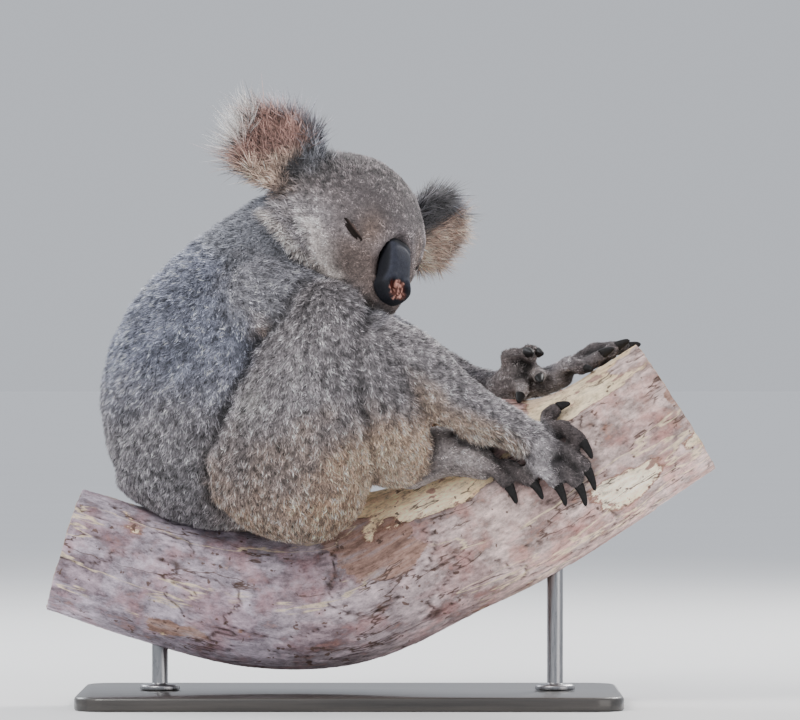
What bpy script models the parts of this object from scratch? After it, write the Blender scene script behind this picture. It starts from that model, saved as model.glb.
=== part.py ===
"""Koala asleep on a cut length of branch, on a plain display stand.

Metres, +Z up.  +X is the side the animal faces, -Y is its right side.
The origin is on the underside of the stand's base, at its middle.

Each part of the body is a skin of elliptical rings along a few stations.
A station is (x, y, z, half width, half depth): the ring's middle, its
half width across the body, and its half depth in the plane of the bend.
The outer surface of each solid lies at the tips of the coat.
"""

import math

import bmesh
import bpy
from mathutils import Matrix, Vector

# ---------------------------------------------------------------- sizes

GAP = 0.0004                # space left between neighbouring solids
SLIVER = 0.0001             # cut corners closer than this become one
SEAM_MERGE = 0.0008         # the same where grown-together shapes meet
LIMB_SIDES = 12
BODY_SIDES = 18
HEAD_SIDES = 20
THIGH_SIDES = 16
DIGIT_SIDES = 6
CLAW_SIDES = 6
CAP_ANGLES = (math.radians(38), math.radians(68))
SHARP_ANGLE = math.radians(50)
SMOOTH_STEPS = 2            # rings for each span between stations

# Stand
BASE_LENGTH = 0.54
BASE_DEPTH = 0.28
BASE_HEIGHT = 0.014
BASE_CORNER = 0.030
BASE_CORNER_STEPS = 3
BASE_EDGE = 0.003           # softened top edge
BASE_EDGE_STEPS = 2
ROD_RADIUS = 0.008
ROD_FOOT_RADIUS = 0.020
ROD_FOOT_HEIGHT = 0.006
ROD_FOOT_SIDE = 0.7         # upright part of the foot's edge, as a share
ROD_FOOT_TOP = 0.85         # radius of the foot's top, as a share
ROD_SPOTS = {"stand_rod_rear": -0.190, "stand_rod_front": 0.205}

# Perch: a crook of branch, with its radius at each station
PERCH_SIDES = 18
PERCH = (
    (-0.285, 0.000, 0.154, 0.063, 0.063),
    (-0.194, 0.000, 0.127, 0.065, 0.065),
    (-0.095, 0.000, 0.105, 0.068, 0.068),
    (-0.001, 0.000, 0.111, 0.071, 0.071),
    (0.082, 0.000, 0.153, 0.075, 0.075),
    (0.158, 0.000, 0.191, 0.076, 0.076),
    (0.235, 0.000, 0.240, 0.076, 0.076),
    (0.325, 0.000, 0.298, 0.075, 0.075),
)

# Trunk and neck, from the rump up to the skull
TRUNK = (
    (-0.148, 0.000, 0.230, 0.100, 0.100),
    (-0.136, 0.000, 0.276, 0.126, 0.119),
    (-0.125, 0.000, 0.330, 0.130, 0.121),
    (-0.104, 0.000, 0.378, 0.124, 0.108),
    (-0.080, -0.002, 0.420, 0.112, 0.088),
    (-0.056, -0.006, 0.451, 0.090, 0.070),
    (-0.028, -0.012, 0.470, 0.072, 0.062),
)
RUMP_CAP = 0.052
NECK_JOINT = 4              # the station where the neck starts

# Right arm (near side) from the shoulder to the knuckles
ARM_RIGHT = (
    (-0.098, -0.072, 0.402, 0.052, 0.056),
    (-0.040, -0.096, 0.384, 0.044, 0.047),
    (0.024, -0.108, 0.358, 0.038, 0.039),
    (0.066, -0.107, 0.339, 0.034, 0.034),
    (0.099, -0.100, 0.307, 0.031, 0.031),
    (0.130, -0.089, 0.289, 0.027, 0.0265),
    (0.158, -0.080, 0.278, 0.023, 0.0220),
    (0.180, -0.078, 0.265, 0.023, 0.0190),
    (0.197, -0.082, 0.251, 0.023, 0.0160),
)
# Left arm (far side)
ARM_LEFT = (
    (-0.088, 0.072, 0.402, 0.052, 0.056),
    (-0.026, 0.100, 0.380, 0.044, 0.047),
    (0.045, 0.112, 0.350, 0.038, 0.038),
    (0.085, 0.102, 0.330, 0.031, 0.031),
    (0.120, 0.085, 0.317, 0.025, 0.024),
    (0.148, 0.066, 0.316, 0.021, 0.0190),
    (0.175, 0.050, 0.320, 0.018, 0.0155),
    (0.196, 0.038, 0.323, 0.018, 0.0145),
    (0.213, 0.030, 0.330, 0.020, 0.0130),
)
SHOULDER_CAP = 0.036
KNUCKLE_CAP = 0.008
ARM_JOINTS = (2, 7)         # stations of the elbow and the wrist

# Legs: a thigh and a folded shank that starts inside the knee
THIGH_RIGHT = (
    (-0.064, -0.088, 0.222, 0.062, 0.084),
    (-0.046, -0.098, 0.277, 0.068, 0.080),
    (-0.032, -0.106, 0.334, 0.062, 0.066),
    (-0.021, -0.112, 0.381, 0.050, 0.048),
)
THIGH_LEFT = (
    (-0.064, 0.088, 0.222, 0.062, 0.084),
    (-0.040, 0.100, 0.272, 0.068, 0.080),
    (-0.010, 0.108, 0.316, 0.062, 0.066),
    (0.014, 0.110, 0.346, 0.050, 0.048),
)
THIGH_CAPS = (0.058, 0.044)
SHANK_RIGHT = (
    (-0.004, -0.110, 0.364, 0.046, 0.046),
    (0.018, -0.106, 0.318, 0.050, 0.052),
    (0.034, -0.092, 0.272, 0.046, 0.048),
    (0.048, -0.070, 0.242, 0.032, 0.036),
)
SHANK_LEFT = (
    (0.028, 0.108, 0.344, 0.044, 0.044),
    (0.066, 0.102, 0.314, 0.042, 0.044),
    (0.104, 0.086, 0.298, 0.032, 0.034),
    (0.132, 0.068, 0.298, 0.023, 0.024),
)
SHANK_CAPS = (0.030, 0.022)

# Feet, from the heel to the roots of the toes
FOOT_RIGHT = (
    (0.054, -0.056, 0.240, 0.026, 0.026),
    (0.090, -0.058, 0.254, 0.028, 0.026),
    (0.116, -0.062, 0.249, 0.029, 0.021),
    (0.134, -0.066, 0.239, 0.027, 0.014),
)
FOOT_LEFT = (
    (0.138, 0.064, 0.302, 0.019, 0.021),
    (0.157, 0.046, 0.313, 0.016, 0.022),
    (0.169, 0.036, 0.326, 0.014, 0.021),
    (0.172, 0.032, 0.338, 0.012, 0.017),
)
FOOT_CAPS = (0.018, 0.010)

# Digits: knuckle, middle and tip of each, with one radius along it
HAND_DIGITS_RIGHT = {
    1: ((0.195, -0.070, 0.264), (0.197, -0.054, 0.290), (0.207, -0.048, 0.289)),
    2: ((0.186, -0.068, 0.276), (0.212, -0.068, 0.276), (0.228, -0.076, 0.265)),
    3: ((0.192, -0.082, 0.260), (0.217, -0.086, 0.253), (0.232, -0.088, 0.239)),
    4: ((0.188, -0.086, 0.250), (0.210, -0.092, 0.239), (0.224, -0.091, 0.224)),
    5: ((0.180, -0.084, 0.244), (0.194, -0.092, 0.233), (0.203, -0.091, 0.224)),
}
HAND_DIGITS_LEFT = {
    1: ((0.205, 0.018, 0.332), (0.219, 0.003, 0.342), (0.231, -0.004, 0.336)),
    2: ((0.210, 0.024, 0.334), (0.236, 0.010, 0.345), (0.251, 0.003, 0.344)),
    3: ((0.213, 0.031, 0.335), (0.245, 0.022, 0.352), (0.264, 0.017, 0.354)),
    4: ((0.213, 0.038, 0.333), (0.246, 0.037, 0.355), (0.272, 0.033, 0.361)),
    5: ((0.206, 0.044, 0.330), (0.232, 0.051, 0.340), (0.250, 0.055, 0.346)),
}
FOOT_DIGITS_RIGHT = {
    1: ((0.108, -0.042, 0.252), (0.120, -0.030, 0.264), (0.135, -0.024, 0.268)),
    2: ((0.122, -0.050, 0.246), (0.138, -0.041, 0.257), (0.149, -0.038, 0.258)),
    4: ((0.126, -0.066, 0.241), (0.158, -0.074, 0.238), (0.178, -0.082, 0.226)),
    5: ((0.118, -0.074, 0.242), (0.140, -0.084, 0.239), (0.153, -0.086, 0.226)),
}
FOOT_DIGITS_LEFT = {
    1: ((0.158, 0.036, 0.336), (0.157, 0.026, 0.348), (0.166, 0.020, 0.351)),
    2: ((0.172, 0.036, 0.342), (0.1789, 0.0239, 0.3506), (0.1823, 0.011, 0.3515)),
    4: ((0.170, 0.036, 0.328), (0.1877, 0.0207, 0.3315), (0.1889, 0.0053, 0.3283)),
    5: ((0.162, 0.036, 0.317), (0.173, 0.016, 0.316), (0.171, 0.002, 0.311)),
}
DIGIT_RADII = {1: 0.0078, 2: 0.0080, 3: 0.0082, 4: 0.0084, 5: 0.0076}
FUSED_TOE_RADIUS = 0.0100   # the second and third toes share one sleeve
ROOT_CAP = 0.7              # depths of a digit's rounded ends, in its radii
TIP_CAP = 0.8
TIP_TAPER = 0.86
DIGIT_CAP_ANGLES = (math.radians(48),)
DIGIT_REST = 0.88           # height of a resting digit's middle, in its radii
DIGIT_REACH = 0.010         # digits this close over the bark are laid on it

# Claws run on from a digit's tip, curling towards the branch
CLAW_LENGTH = 0.026
CLAW_RADIUS = 0.0055
CLAW_ROOT = 0.0015          # how far a claw starts back inside its digit
CLAW_FLATNESS = 0.72
CLAW_DROP = 0.70            # the tip's fall, as a share of length, on a steep flank
CLAW_RINGS = 3
CLAW_TAPER = 0.7            # how late the claw narrows to its point
CLAW_PAIR = 0.5             # half the spacing of the fused toe's claws, in its radii
CLAW_HEIGHT = 0.0080        # height of a claw's root over the bark

# Head: its own frame is x forward, y left, z up, from midway between the ears
HEAD_ORIGIN = (0.012, 0.000, 0.519)
HEAD_LEFT = (0.730, 0.570, -0.377)
HEAD_UP = (0.459, 0.000, 0.888)
SKULL = (
    (-0.032, 0.000, -0.042, 0.062, 0.056),
    (-0.006, 0.000, -0.039, 0.079, 0.069),
    (0.025, 0.000, -0.042, 0.080, 0.070),
    (0.053, 0.000, -0.051, 0.072, 0.064),
    (0.078, 0.000, -0.060, 0.056, 0.053),
    (0.098, 0.000, -0.070, 0.041, 0.039),
)
SKULL_CAPS = (0.018, 0.014)
CHEEK_FULLNESS = 0.14       # how much wider the head is low down than high up
MUZZLE = (
    (0.060, 0.000, -0.074, 0.046, 0.040),
    (0.094, 0.000, -0.082, 0.038, 0.035),
    (0.118, 0.000, -0.091, 0.030, 0.026),
)
MUZZLE_CAPS = (0.010, 0.014)

EAR_MIDDLE = (-0.005, 0.110, -0.007)
EAR_OUT = 0.059             # half size, head to rim
EAR_RISE = 0.050            # half size, up and down
EAR_TURN = math.radians(17)
EAR_SIDES = 18
# Depth of the ear along its facing, against the share of its half size
EAR_PROFILE = (
    (0.50, -0.017), (0.84, -0.012), (1.00, -0.002), (0.95, 0.009), (0.62, 0.006),
)
EAR_BACK = -0.019
EAR_HOLLOW = 0.002

NOSE_MIDDLE = (0.121, 0.000, -0.064)
NOSE_LEAN = math.radians(35)
NOSE_HALF_LENGTH = 0.036
NOSE_HALF_WIDTH = 0.0175
NOSE_HALF_THICKNESS = 0.013
NOSE_SQUARENESS = 2.6
NOSE_SIDES = 12
NOSE_ROWS = 6

LID_MIDDLE = (0.085, 0.041, -0.0455)
LID_HALF_SIZES = (0.0150, 0.0080, 0.0105)
LID_SIDES = 10
LID_ROWS = 4
LID_SLANT = math.radians(25)
LID_FACING = math.radians(47)

# colour, roughness, metallic
FINISHES = {
    "fur_grey": ((0.235, 0.220, 0.215), 0.85, 0.0),
    "fur_pale": ((0.420, 0.370, 0.330), 0.85, 0.0),
    "skin_nose": ((0.030, 0.032, 0.040), 0.45, 0.0),
    "skin_lid": ((0.130, 0.085, 0.070), 0.60, 0.0),
    "horn_claw": ((0.018, 0.015, 0.014), 0.35, 0.0),
    "bark": ((0.560, 0.440, 0.340), 0.75, 0.0),
    "stand_board": ((0.040, 0.036, 0.034), 0.45, 0.0),
    "stand_metal": ((0.180, 0.180, 0.185), 0.35, 1.0),
}

# ------------------------------------------------------------ mesh tools


def clear_scene():
    for item in list(bpy.data.objects):
        bpy.data.objects.remove(item, do_unlink=True)


def finish_material(name):
    """The Principled material of one finish, made once."""
    if name in bpy.data.materials:
        return bpy.data.materials[name]
    colour, roughness, metallic = FINISHES[name]
    material = bpy.data.materials.new(name)
    material.use_nodes = True
    shader = material.node_tree.nodes["Principled BSDF"]
    shader.inputs["Base Color"].default_value = (*colour, 1.0)
    shader.inputs["Roughness"].default_value = roughness
    shader.inputs["Metallic"].default_value = metallic
    return material


def between(before, start, end, after, share):
    """One value on the smooth curve that runs through start and end."""
    rise = 2.0 * start + (end - before) * share
    bend = (2.0 * before - 5.0 * start + 4.0 * end - after) * share ** 2
    turn = (3.0 * start - before - 3.0 * end + after) * share ** 3
    return 0.5 * (rise + bend + turn)


def smooth_stations(stations, steps):
    """More stations on the smooth curve through the given ones."""
    last = len(stations) - 1
    result = []
    for index in range(last):
        before = stations[max(index - 1, 0)]
        start = stations[index]
        end = stations[index + 1]
        after = stations[min(index + 2, last)]
        for step in range(steps):
            share = step / steps
            values = zip(before, start, end, after)
            result.append(tuple(between(*four, share) for four in values))
    result.append(stations[last])
    return result


def tangents(stations):
    """The direction of travel at each station."""
    last = len(stations) - 1
    middles = [Vector(station[:3]) for station in stations]
    spans = []
    for index in range(len(middles)):
        ahead = middles[min(index + 1, last)]
        behind = middles[max(index - 1, 0)]
        spans.append((ahead - behind).normalized())
    return spans


def ring(middle, tangent, width, depth, sides, fullness=0.0):
    """Points of one oval ring square to the tangent."""
    across = Vector((0.0, 1.0, 0.0))
    across = (across - tangent * across.dot(tangent)).normalized()
    upward = tangent.cross(across)
    points = []
    for side in range(sides):
        angle = 2.0 * math.pi * side / sides
        cosine = math.cos(angle)
        sine = math.sin(angle)
        right = cosine * (1.0 + fullness * sine)
        points.append(middle + across * width * right + upward * depth * sine)
    return points


def skin_rings(rings, start_pole=None, end_pole=None):
    """A closed mesh over the rings, its ends flat or drawn to a pole."""
    mesh = bpy.data.meshes.new("skin")
    shape = bmesh.new()
    loops = [[shape.verts.new(point) for point in points] for points in rings]
    for lower, upper in zip(loops, loops[1:]):
        for side in range(len(lower)):
            following = (side + 1) % len(lower)
            corners = (lower[side], lower[following], upper[following], upper[side])
            shape.faces.new(corners)
    for loop, pole in ((loops[0], start_pole), (loops[-1], end_pole)):
        if pole is None:
            shape.faces.new(loop)
            continue
        tip = shape.verts.new(pole)
        for side in range(len(loop)):
            shape.faces.new((loop[side], loop[(side + 1) % len(loop)], tip))
    bmesh.ops.recalc_face_normals(shape, faces=shape.faces)
    shape.to_mesh(mesh)
    shape.free()
    return mesh


def rounded_end(station, way, outward, depth, sides, fullness, angles):
    """Rings that close in on a rounded end, and the pole it ends at."""
    middle = Vector(station[:3])
    rings = []
    for angle in angles:
        centre = middle + outward * depth * math.sin(angle)
        scale = math.cos(angle)
        width = station[3] * scale
        height = station[4] * scale
        rings.append(ring(centre, way, width, height, sides, fullness))
    return rings, middle + outward * depth


def skin_stations(rows, ways, sides, start_cap, end_cap, fullness, angles):
    """The rings of one piece, with flat or rounded ends, made into a mesh."""
    rings = []
    for row, way in zip(rows, ways):
        rings.append(ring(Vector(row[:3]), way, row[3], row[4], sides, fullness))
    start_pole = None
    end_pole = None
    if start_cap:
        closing, start_pole = rounded_end(
            rows[0], ways[0], -ways[0], start_cap, sides, fullness, angles
        )
        rings = closing[::-1] + rings
    if end_cap:
        closing, end_pole = rounded_end(
            rows[-1], ways[-1], ways[-1], end_cap, sides, fullness, angles
        )
        rings = rings + closing
    return skin_rings(rings, start_pole, end_pole)


def tube(stations, sides, start_cap=0.0, end_cap=0.0, steps=SMOOTH_STEPS, fullness=0.0,
         angles=CAP_ANGLES):
    """A body of oval rings; a cap depth of nothing leaves that end flat."""
    rows = smooth_stations(stations, steps)
    ways = tangents(rows)
    return skin_stations(rows, ways, sides, start_cap, end_cap, fullness, angles)


def chain(stations, joints, sides, start_cap, end_cap, steps=1):
    """One smooth limb parted at some of its stations by thin cuts."""
    rows = smooth_stations(stations, steps)
    ways = tangents(rows)
    last_row = len(rows) - 1
    cuts = [0, *(joint * steps for joint in joints), last_row]
    pieces = []
    for first, last in zip(cuts, cuts[1:]):
        piece_rows = rows[first:last + 1]
        piece_ways = ways[first:last + 1]
        if first:
            start = Vector(piece_rows[0][:3]) + piece_ways[0] * GAP
            piece_rows[0] = (*start, *piece_rows[0][3:])
        mesh = skin_stations(
            piece_rows,
            piece_ways,
            sides,
            0.0 if first else start_cap,
            end_cap if last == last_row else 0.0,
            0.0,
            CAP_ANGLES,
        )
        pieces.append(mesh)
    return pieces


def evaluated_mesh(item):
    """The mesh that an object's modifiers give."""
    graph = bpy.context.evaluated_depsgraph_get()
    graph.update()
    return bpy.data.meshes.new_from_object(item.evaluated_get(graph))


def unite(meshes):
    """One closed mesh out of several that run into one another."""
    items = []
    for mesh in meshes:
        item = bpy.data.objects.new("member", mesh)
        bpy.context.scene.collection.objects.link(item)
        items.append(item)
    for other in items[1:]:
        joint = items[0].modifiers.new("join", "BOOLEAN")
        joint.operation = "UNION"
        joint.object = other
        joint.use_self = True
    mesh = evaluated_mesh(items[0])
    for item in items:
        bpy.data.objects.remove(item, do_unlink=True)
    shape = bmesh.new()
    shape.from_mesh(mesh)
    bmesh.ops.remove_doubles(shape, verts=shape.verts, dist=SEAM_MERGE)
    bmesh.ops.triangulate(shape, faces=shape.faces)
    shape.to_mesh(mesh)
    shape.free()
    return mesh


# -------------------------------------------------------- shapes of parts


def head_matrix():
    """Places the head's own frame in the model."""
    left = Vector(HEAD_LEFT).normalized()
    upward = Vector(HEAD_UP)
    upward = (upward - left * upward.dot(left)).normalized()
    forward = left.cross(upward)
    turn = Matrix((forward, left, upward)).transposed().to_4x4()
    return Matrix.Translation(HEAD_ORIGIN) @ turn


def in_head(mesh, place=None):
    """Moves a mesh from its own place on the head to the model."""
    if place is not None:
        mesh.transform(place)
    mesh.transform(head_matrix())
    return mesh


def head_shape():
    skull = tube(SKULL, HEAD_SIDES, *SKULL_CAPS, fullness=-CHEEK_FULLNESS)
    muzzle = tube(MUZZLE, LIMB_SIDES, *MUZZLE_CAPS, steps=1)
    return in_head(unite([skull, muzzle]))


def ear_shape(side):
    """A round hollowed dish that faces forward and a little outward."""
    rings = []
    for share, depth in EAR_PROFILE:
        points = []
        for step in range(EAR_SIDES):
            angle = 2.0 * math.pi * step / EAR_SIDES
            across = EAR_OUT * share * math.cos(angle)
            upward = EAR_RISE * share * math.sin(angle)
            points.append(Vector((depth, across, upward)))
        rings.append(points)
    mesh = skin_rings(rings, Vector((EAR_BACK, 0, 0)), Vector((EAR_HOLLOW, 0, 0)))
    middle = Vector((EAR_MIDDLE[0], EAR_MIDDLE[1] * side, EAR_MIDDLE[2]))
    place = Matrix.Translation(middle) @ Matrix.Rotation(EAR_TURN * side, 4, "Z")
    return in_head(mesh, place)


def ball(sizes, sides, rows, power=2.0):
    """A rounded lump with three half sizes, squarer with a higher power."""
    rings = []
    for row in range(1, rows):
        angle = math.pi * row / rows - math.pi / 2.0
        slope = math.cos(angle) ** (2.0 / power)
        height = math.copysign(abs(math.sin(angle)) ** (2.0 / power), math.sin(angle))
        points = []
        for step in range(sides):
            turn = 2.0 * math.pi * step / sides
            cosine = math.cos(turn)
            sine = math.sin(turn)
            wide = math.copysign(abs(cosine) ** (2.0 / power), cosine)
            deep = math.copysign(abs(sine) ** (2.0 / power), sine)
            across = sizes[1] * wide * slope
            outward = sizes[0] * deep * slope
            points.append(Vector((outward, across, sizes[2] * height)))
        rings.append(points)
    return skin_rings(rings, Vector((0, 0, -sizes[2])), Vector((0, 0, sizes[2])))


def nose_shape():
    sizes = (NOSE_HALF_THICKNESS, NOSE_HALF_WIDTH, NOSE_HALF_LENGTH)
    mesh = ball(sizes, NOSE_SIDES, NOSE_ROWS, NOSE_SQUARENESS)
    place = Matrix.Translation(NOSE_MIDDLE) @ Matrix.Rotation(-NOSE_LEAN, 4, "Y")
    return in_head(mesh, place)


def lid_shape(side):
    """A closed eye: the two lids make one low dome."""
    along, upward, outward = LID_HALF_SIZES
    mesh = ball((outward, along, upward), LID_SIDES, LID_ROWS)
    slant = Matrix.Rotation(LID_SLANT * side, 4, "X")
    facing = Matrix.Rotation(LID_FACING * side, 4, "Z")
    middle = Vector((LID_MIDDLE[0], LID_MIDDLE[1] * side, LID_MIDDLE[2]))
    return in_head(mesh, Matrix.Translation(middle) @ facing @ slant)


def digit_radius(limb, number):
    if limb == "foot" and number == 2:
        return FUSED_TOE_RADIUS
    return DIGIT_RADII[number]


def perch_near(point):
    """The nearest place on the perch's middle line, and its radius there."""
    best = None
    rows = smooth_stations(PERCH, SMOOTH_STEPS)
    for start, end in zip(rows, rows[1:]):
        first = Vector(start[:3])
        run = Vector(end[:3]) - first
        share = (point - first).dot(run) / run.length_squared
        share = min(max(share, 0.0), 1.0)
        spot = first + run * share
        radius = start[3] + (end[3] - start[3]) * share
        if best is None or (point - spot).length < (point - best[0]).length:
            best = (spot, radius)
    return best


def rest_on_perch(point, height, reach=0.0):
    """Sets a point at a height over the bark if it is lower, or within reach."""
    point = Vector(point)
    spot, radius = perch_near(point)
    outward = (point - spot).normalized()
    level = radius + height
    if (point - spot).length < level + reach:
        return spot + outward * level
    return point


def digit_shape(points, radius):
    root = Vector(points[0])
    knuckle = rest_on_perch(points[1], radius * DIGIT_REST, DIGIT_REACH)
    tip = rest_on_perch(points[2], radius * DIGIT_REST, DIGIT_REACH)
    stations = (
        (*root, radius, radius),
        (*knuckle, radius, radius),
        (*tip, radius * TIP_TAPER, radius * TIP_TAPER),
    )
    caps = (radius * ROOT_CAP, radius * TIP_CAP)
    return tube(stations, DIGIT_SIDES, *caps, steps=1, angles=DIGIT_CAP_ANGLES)


def hand_or_foot(palm, digits, limb):
    """A palm or sole with its digits grown onto it."""
    members = [palm]
    for number, points in digits.items():
        members.append(digit_shape(points, digit_radius(limb, number)))
    return unite(members)


def claw_shape(points, sideways=0.0):
    """A hooked claw: a thin tapering horn that bends down to its tip."""
    knuckle = rest_on_perch(points[1], CLAW_HEIGHT, DIGIT_REACH)
    root = rest_on_perch(points[2], CLAW_HEIGHT, DIGIT_REACH)
    way = (root - knuckle).normalized()
    across = way.cross(Vector((0.0, 0.0, 1.0))).normalized()
    root -= way * CLAW_ROOT
    spot, _ = perch_near(root)
    steepness = 1.0 - max((root - spot).normalized().z, 0.0)
    drop = CLAW_DROP * steepness
    rings = []
    for step in range(CLAW_RINGS + 1):
        share = step / CLAW_RINGS
        radius = CLAW_RADIUS * (1.0 - share) ** CLAW_TAPER
        middle = root + across * sideways
        middle += way * CLAW_LENGTH * share * (1.0 - drop * share / 2.0)
        middle.z -= CLAW_LENGTH * drop * share ** 2
        middle = rest_on_perch(middle, radius + GAP)
        rings.append(ring(middle, way, radius * CLAW_FLATNESS, radius, CLAW_SIDES))
    tip = middle
    return skin_rings(rings[:-1], None, tip)


def claws(limb, side, digits):
    """The claws of one hand or foot; the great toe has none."""
    shapes = {}
    for number, points in digits.items():
        if limb == "foot" and number == 1:
            continue
        if limb == "foot" and number == 2:
            spread = FUSED_TOE_RADIUS * CLAW_PAIR
            shapes[f"claw_{limb}_{side}_2"] = claw_shape(points, -spread)
            shapes[f"claw_{limb}_{side}_3"] = claw_shape(points, spread)
            continue
        shapes[f"claw_{limb}_{side}_{number}"] = claw_shape(points)
    return shapes


def round_edges(shape, edges, width, steps):
    bmesh.ops.bevel(
        shape, geom=edges, offset=width, segments=steps, affect="EDGES", profile=0.5
    )


def base_shape():
    """A flat board with rounded corners and a softened top edge."""
    shape = bmesh.new()
    size = Matrix.Diagonal((BASE_LENGTH, BASE_DEPTH, BASE_HEIGHT, 1.0))
    place = Matrix.Translation((0.0, 0.0, BASE_HEIGHT / 2.0)) @ size
    bmesh.ops.create_cube(shape, size=1.0, matrix=place)
    uprights = []
    for edge in shape.edges:
        run = edge.verts[0].co - edge.verts[1].co
        if abs(run.z) > BASE_HEIGHT / 2.0:
            uprights.append(edge)
    round_edges(shape, uprights, BASE_CORNER, BASE_CORNER_STEPS)
    rim = []
    for edge in shape.edges:
        at_top = min(vert.co.z for vert in edge.verts) > BASE_HEIGHT - GAP
        if at_top:
            rim.append(edge)
    round_edges(shape, rim, BASE_EDGE, BASE_EDGE_STEPS)
    mesh = bpy.data.meshes.new("base")
    shape.to_mesh(mesh)
    shape.free()
    return mesh


def perch_height(spot):
    """Height of the perch's middle line at a place along the stand."""
    rows = smooth_stations(PERCH, SMOOTH_STEPS)
    for start, end in zip(rows, rows[1:]):
        if start[0] <= spot <= end[0]:
            share = (spot - start[0]) / (end[0] - start[0])
            return start[2] + (end[2] - start[2]) * share
    raise ValueError("the rod stands clear of the perch")


def rod_shape(spot):
    """An upright rod on a round foot."""
    bottom = BASE_HEIGHT + GAP
    profile = (
        (ROD_FOOT_RADIUS, bottom),
        (ROD_FOOT_RADIUS, bottom + ROD_FOOT_HEIGHT * ROD_FOOT_SIDE),
        (ROD_FOOT_RADIUS * ROD_FOOT_TOP, bottom + ROD_FOOT_HEIGHT),
        (ROD_RADIUS, bottom + ROD_FOOT_HEIGHT),
        (ROD_RADIUS, perch_height(spot)),
    )
    rings = []
    for radius, height in profile:
        points = []
        for step in range(LIMB_SIDES):
            angle = 2.0 * math.pi * step / LIMB_SIDES
            across = radius * math.cos(angle)
            deep = radius * math.sin(angle)
            points.append(Vector((spot + across, deep, height)))
        rings.append(points)
    return skin_rings(rings)


# ------------------------------------------------------- putting together


def all_shapes():
    """Each node's mesh and finish; an earlier one cuts the later ones."""
    shapes = {}

    def add(name, mesh, finish):
        shapes[name] = (mesh, finish)

    add("stand_base", base_shape(), "stand_board")
    add("perch", tube(PERCH, PERCH_SIDES), "bark")
    for name, spot in ROD_SPOTS.items():
        add(name, rod_shape(spot), "stand_metal")

    add("nose", nose_shape(), "skin_nose")
    add("eyelid_right", lid_shape(-1), "skin_lid")
    add("eyelid_left", lid_shape(1), "skin_lid")
    add("head", head_shape(), "fur_grey")
    add("ear_right", ear_shape(-1), "fur_pale")
    add("ear_left", ear_shape(1), "fur_pale")

    add("thigh_right", tube(THIGH_RIGHT, THIGH_SIDES, *THIGH_CAPS), "fur_grey")
    add("thigh_left", tube(THIGH_LEFT, THIGH_SIDES, *THIGH_CAPS), "fur_grey")
    add("shank_right", tube(SHANK_RIGHT, LIMB_SIDES, *SHANK_CAPS), "fur_grey")
    add("shank_left", tube(SHANK_LEFT, LIMB_SIDES, *SHANK_CAPS), "fur_grey")

    arms = {
        "right": (ARM_RIGHT, HAND_DIGITS_RIGHT),
        "left": (ARM_LEFT, HAND_DIGITS_LEFT),
    }
    for side, (stations, digits) in arms.items():
        upper, fore, palm = chain(stations, ARM_JOINTS, LIMB_SIDES, SHOULDER_CAP, KNUCKLE_CAP)
        add(f"arm_upper_{side}", upper, "fur_grey")
        add(f"forearm_{side}", fore, "fur_grey")
        add(f"hand_{side}", hand_or_foot(palm, digits, "hand"), "fur_grey")

    feet = {
        "right": (FOOT_RIGHT, FOOT_DIGITS_RIGHT),
        "left": (FOOT_LEFT, FOOT_DIGITS_LEFT),
    }
    for side, (stations, digits) in feet.items():
        sole = tube(stations, LIMB_SIDES, *FOOT_CAPS)
        add(f"foot_{side}", hand_or_foot(sole, digits, "foot"), "fur_grey")

    for side in ("right", "left"):
        for limb, (_, digits) in (("hand", arms[side]), ("foot", feet[side])):
            for name, mesh in claws(limb, side, digits).items():
                add(name, mesh, "horn_claw")

    trunk, neck = chain(
        TRUNK, (NECK_JOINT,), BODY_SIDES, RUMP_CAP, 0.0, steps=SMOOTH_STEPS
    )
    add("neck", neck, "fur_grey")
    add("trunk", trunk, "fur_grey")
    return shapes


def make_cutter(name, mesh):
    """A copy of a shape grown by the gap, used only to cut its neighbours."""
    grown = mesh.copy()
    for vert in grown.vertices:
        vert.co = vert.co + vert.normal * GAP
    cutter = bpy.data.objects.new(f"cutter_{name}", grown)
    bpy.context.scene.collection.objects.link(cutter)
    cutter.hide_render = True
    cutter.display_type = "WIRE"
    return cutter


def mesh_box(mesh):
    low = [min(vert.co[axis] for vert in mesh.vertices) for axis in range(3)]
    high = [max(vert.co[axis] for vert in mesh.vertices) for axis in range(3)]
    return low, high


def boxes_meet(first, second):
    for axis in range(3):
        if first[0][axis] > second[1][axis] + GAP:
            return False
        if second[0][axis] > first[1][axis] + GAP:
            return False
    return True


def build():
    clear_scene()
    shapes = all_shapes()
    boxes = {name: mesh_box(mesh) for name, (mesh, _) in shapes.items()}
    cutters = {}
    earlier = []
    for name, (mesh, finish) in shapes.items():
        node = bpy.data.objects.new(name, mesh)
        bpy.context.scene.collection.objects.link(node)
        mesh.materials.clear()
        mesh.materials.append(finish_material(finish))
        mesh.shade_smooth()
        mesh.set_sharp_from_angle(angle=SHARP_ANGLE)
        for other in earlier:
            if not boxes_meet(boxes[name], boxes[other]):
                continue
            if other not in cutters:
                cutters[other] = make_cutter(other, shapes[other][0])
            cut = node.modifiers.new(f"clear_of_{other}", "BOOLEAN")
            cut.operation = "DIFFERENCE"
            cut.object = cutters[other]
        tidy = node.modifiers.new("merge_slivers", "WELD")
        tidy.merge_threshold = SLIVER
        earlier.append(name)


build()
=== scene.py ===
"""Koala asleep on a cut length of branch, on a plain display stand.

Metres, +Z up, in the frame of the solids.  +X is the side the animal faces,
-Y is its right side.  One skin covers the body a coat's depth inside the
solids, and the coat grows on it in joined tufts that reach back out to them.
"""

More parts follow.
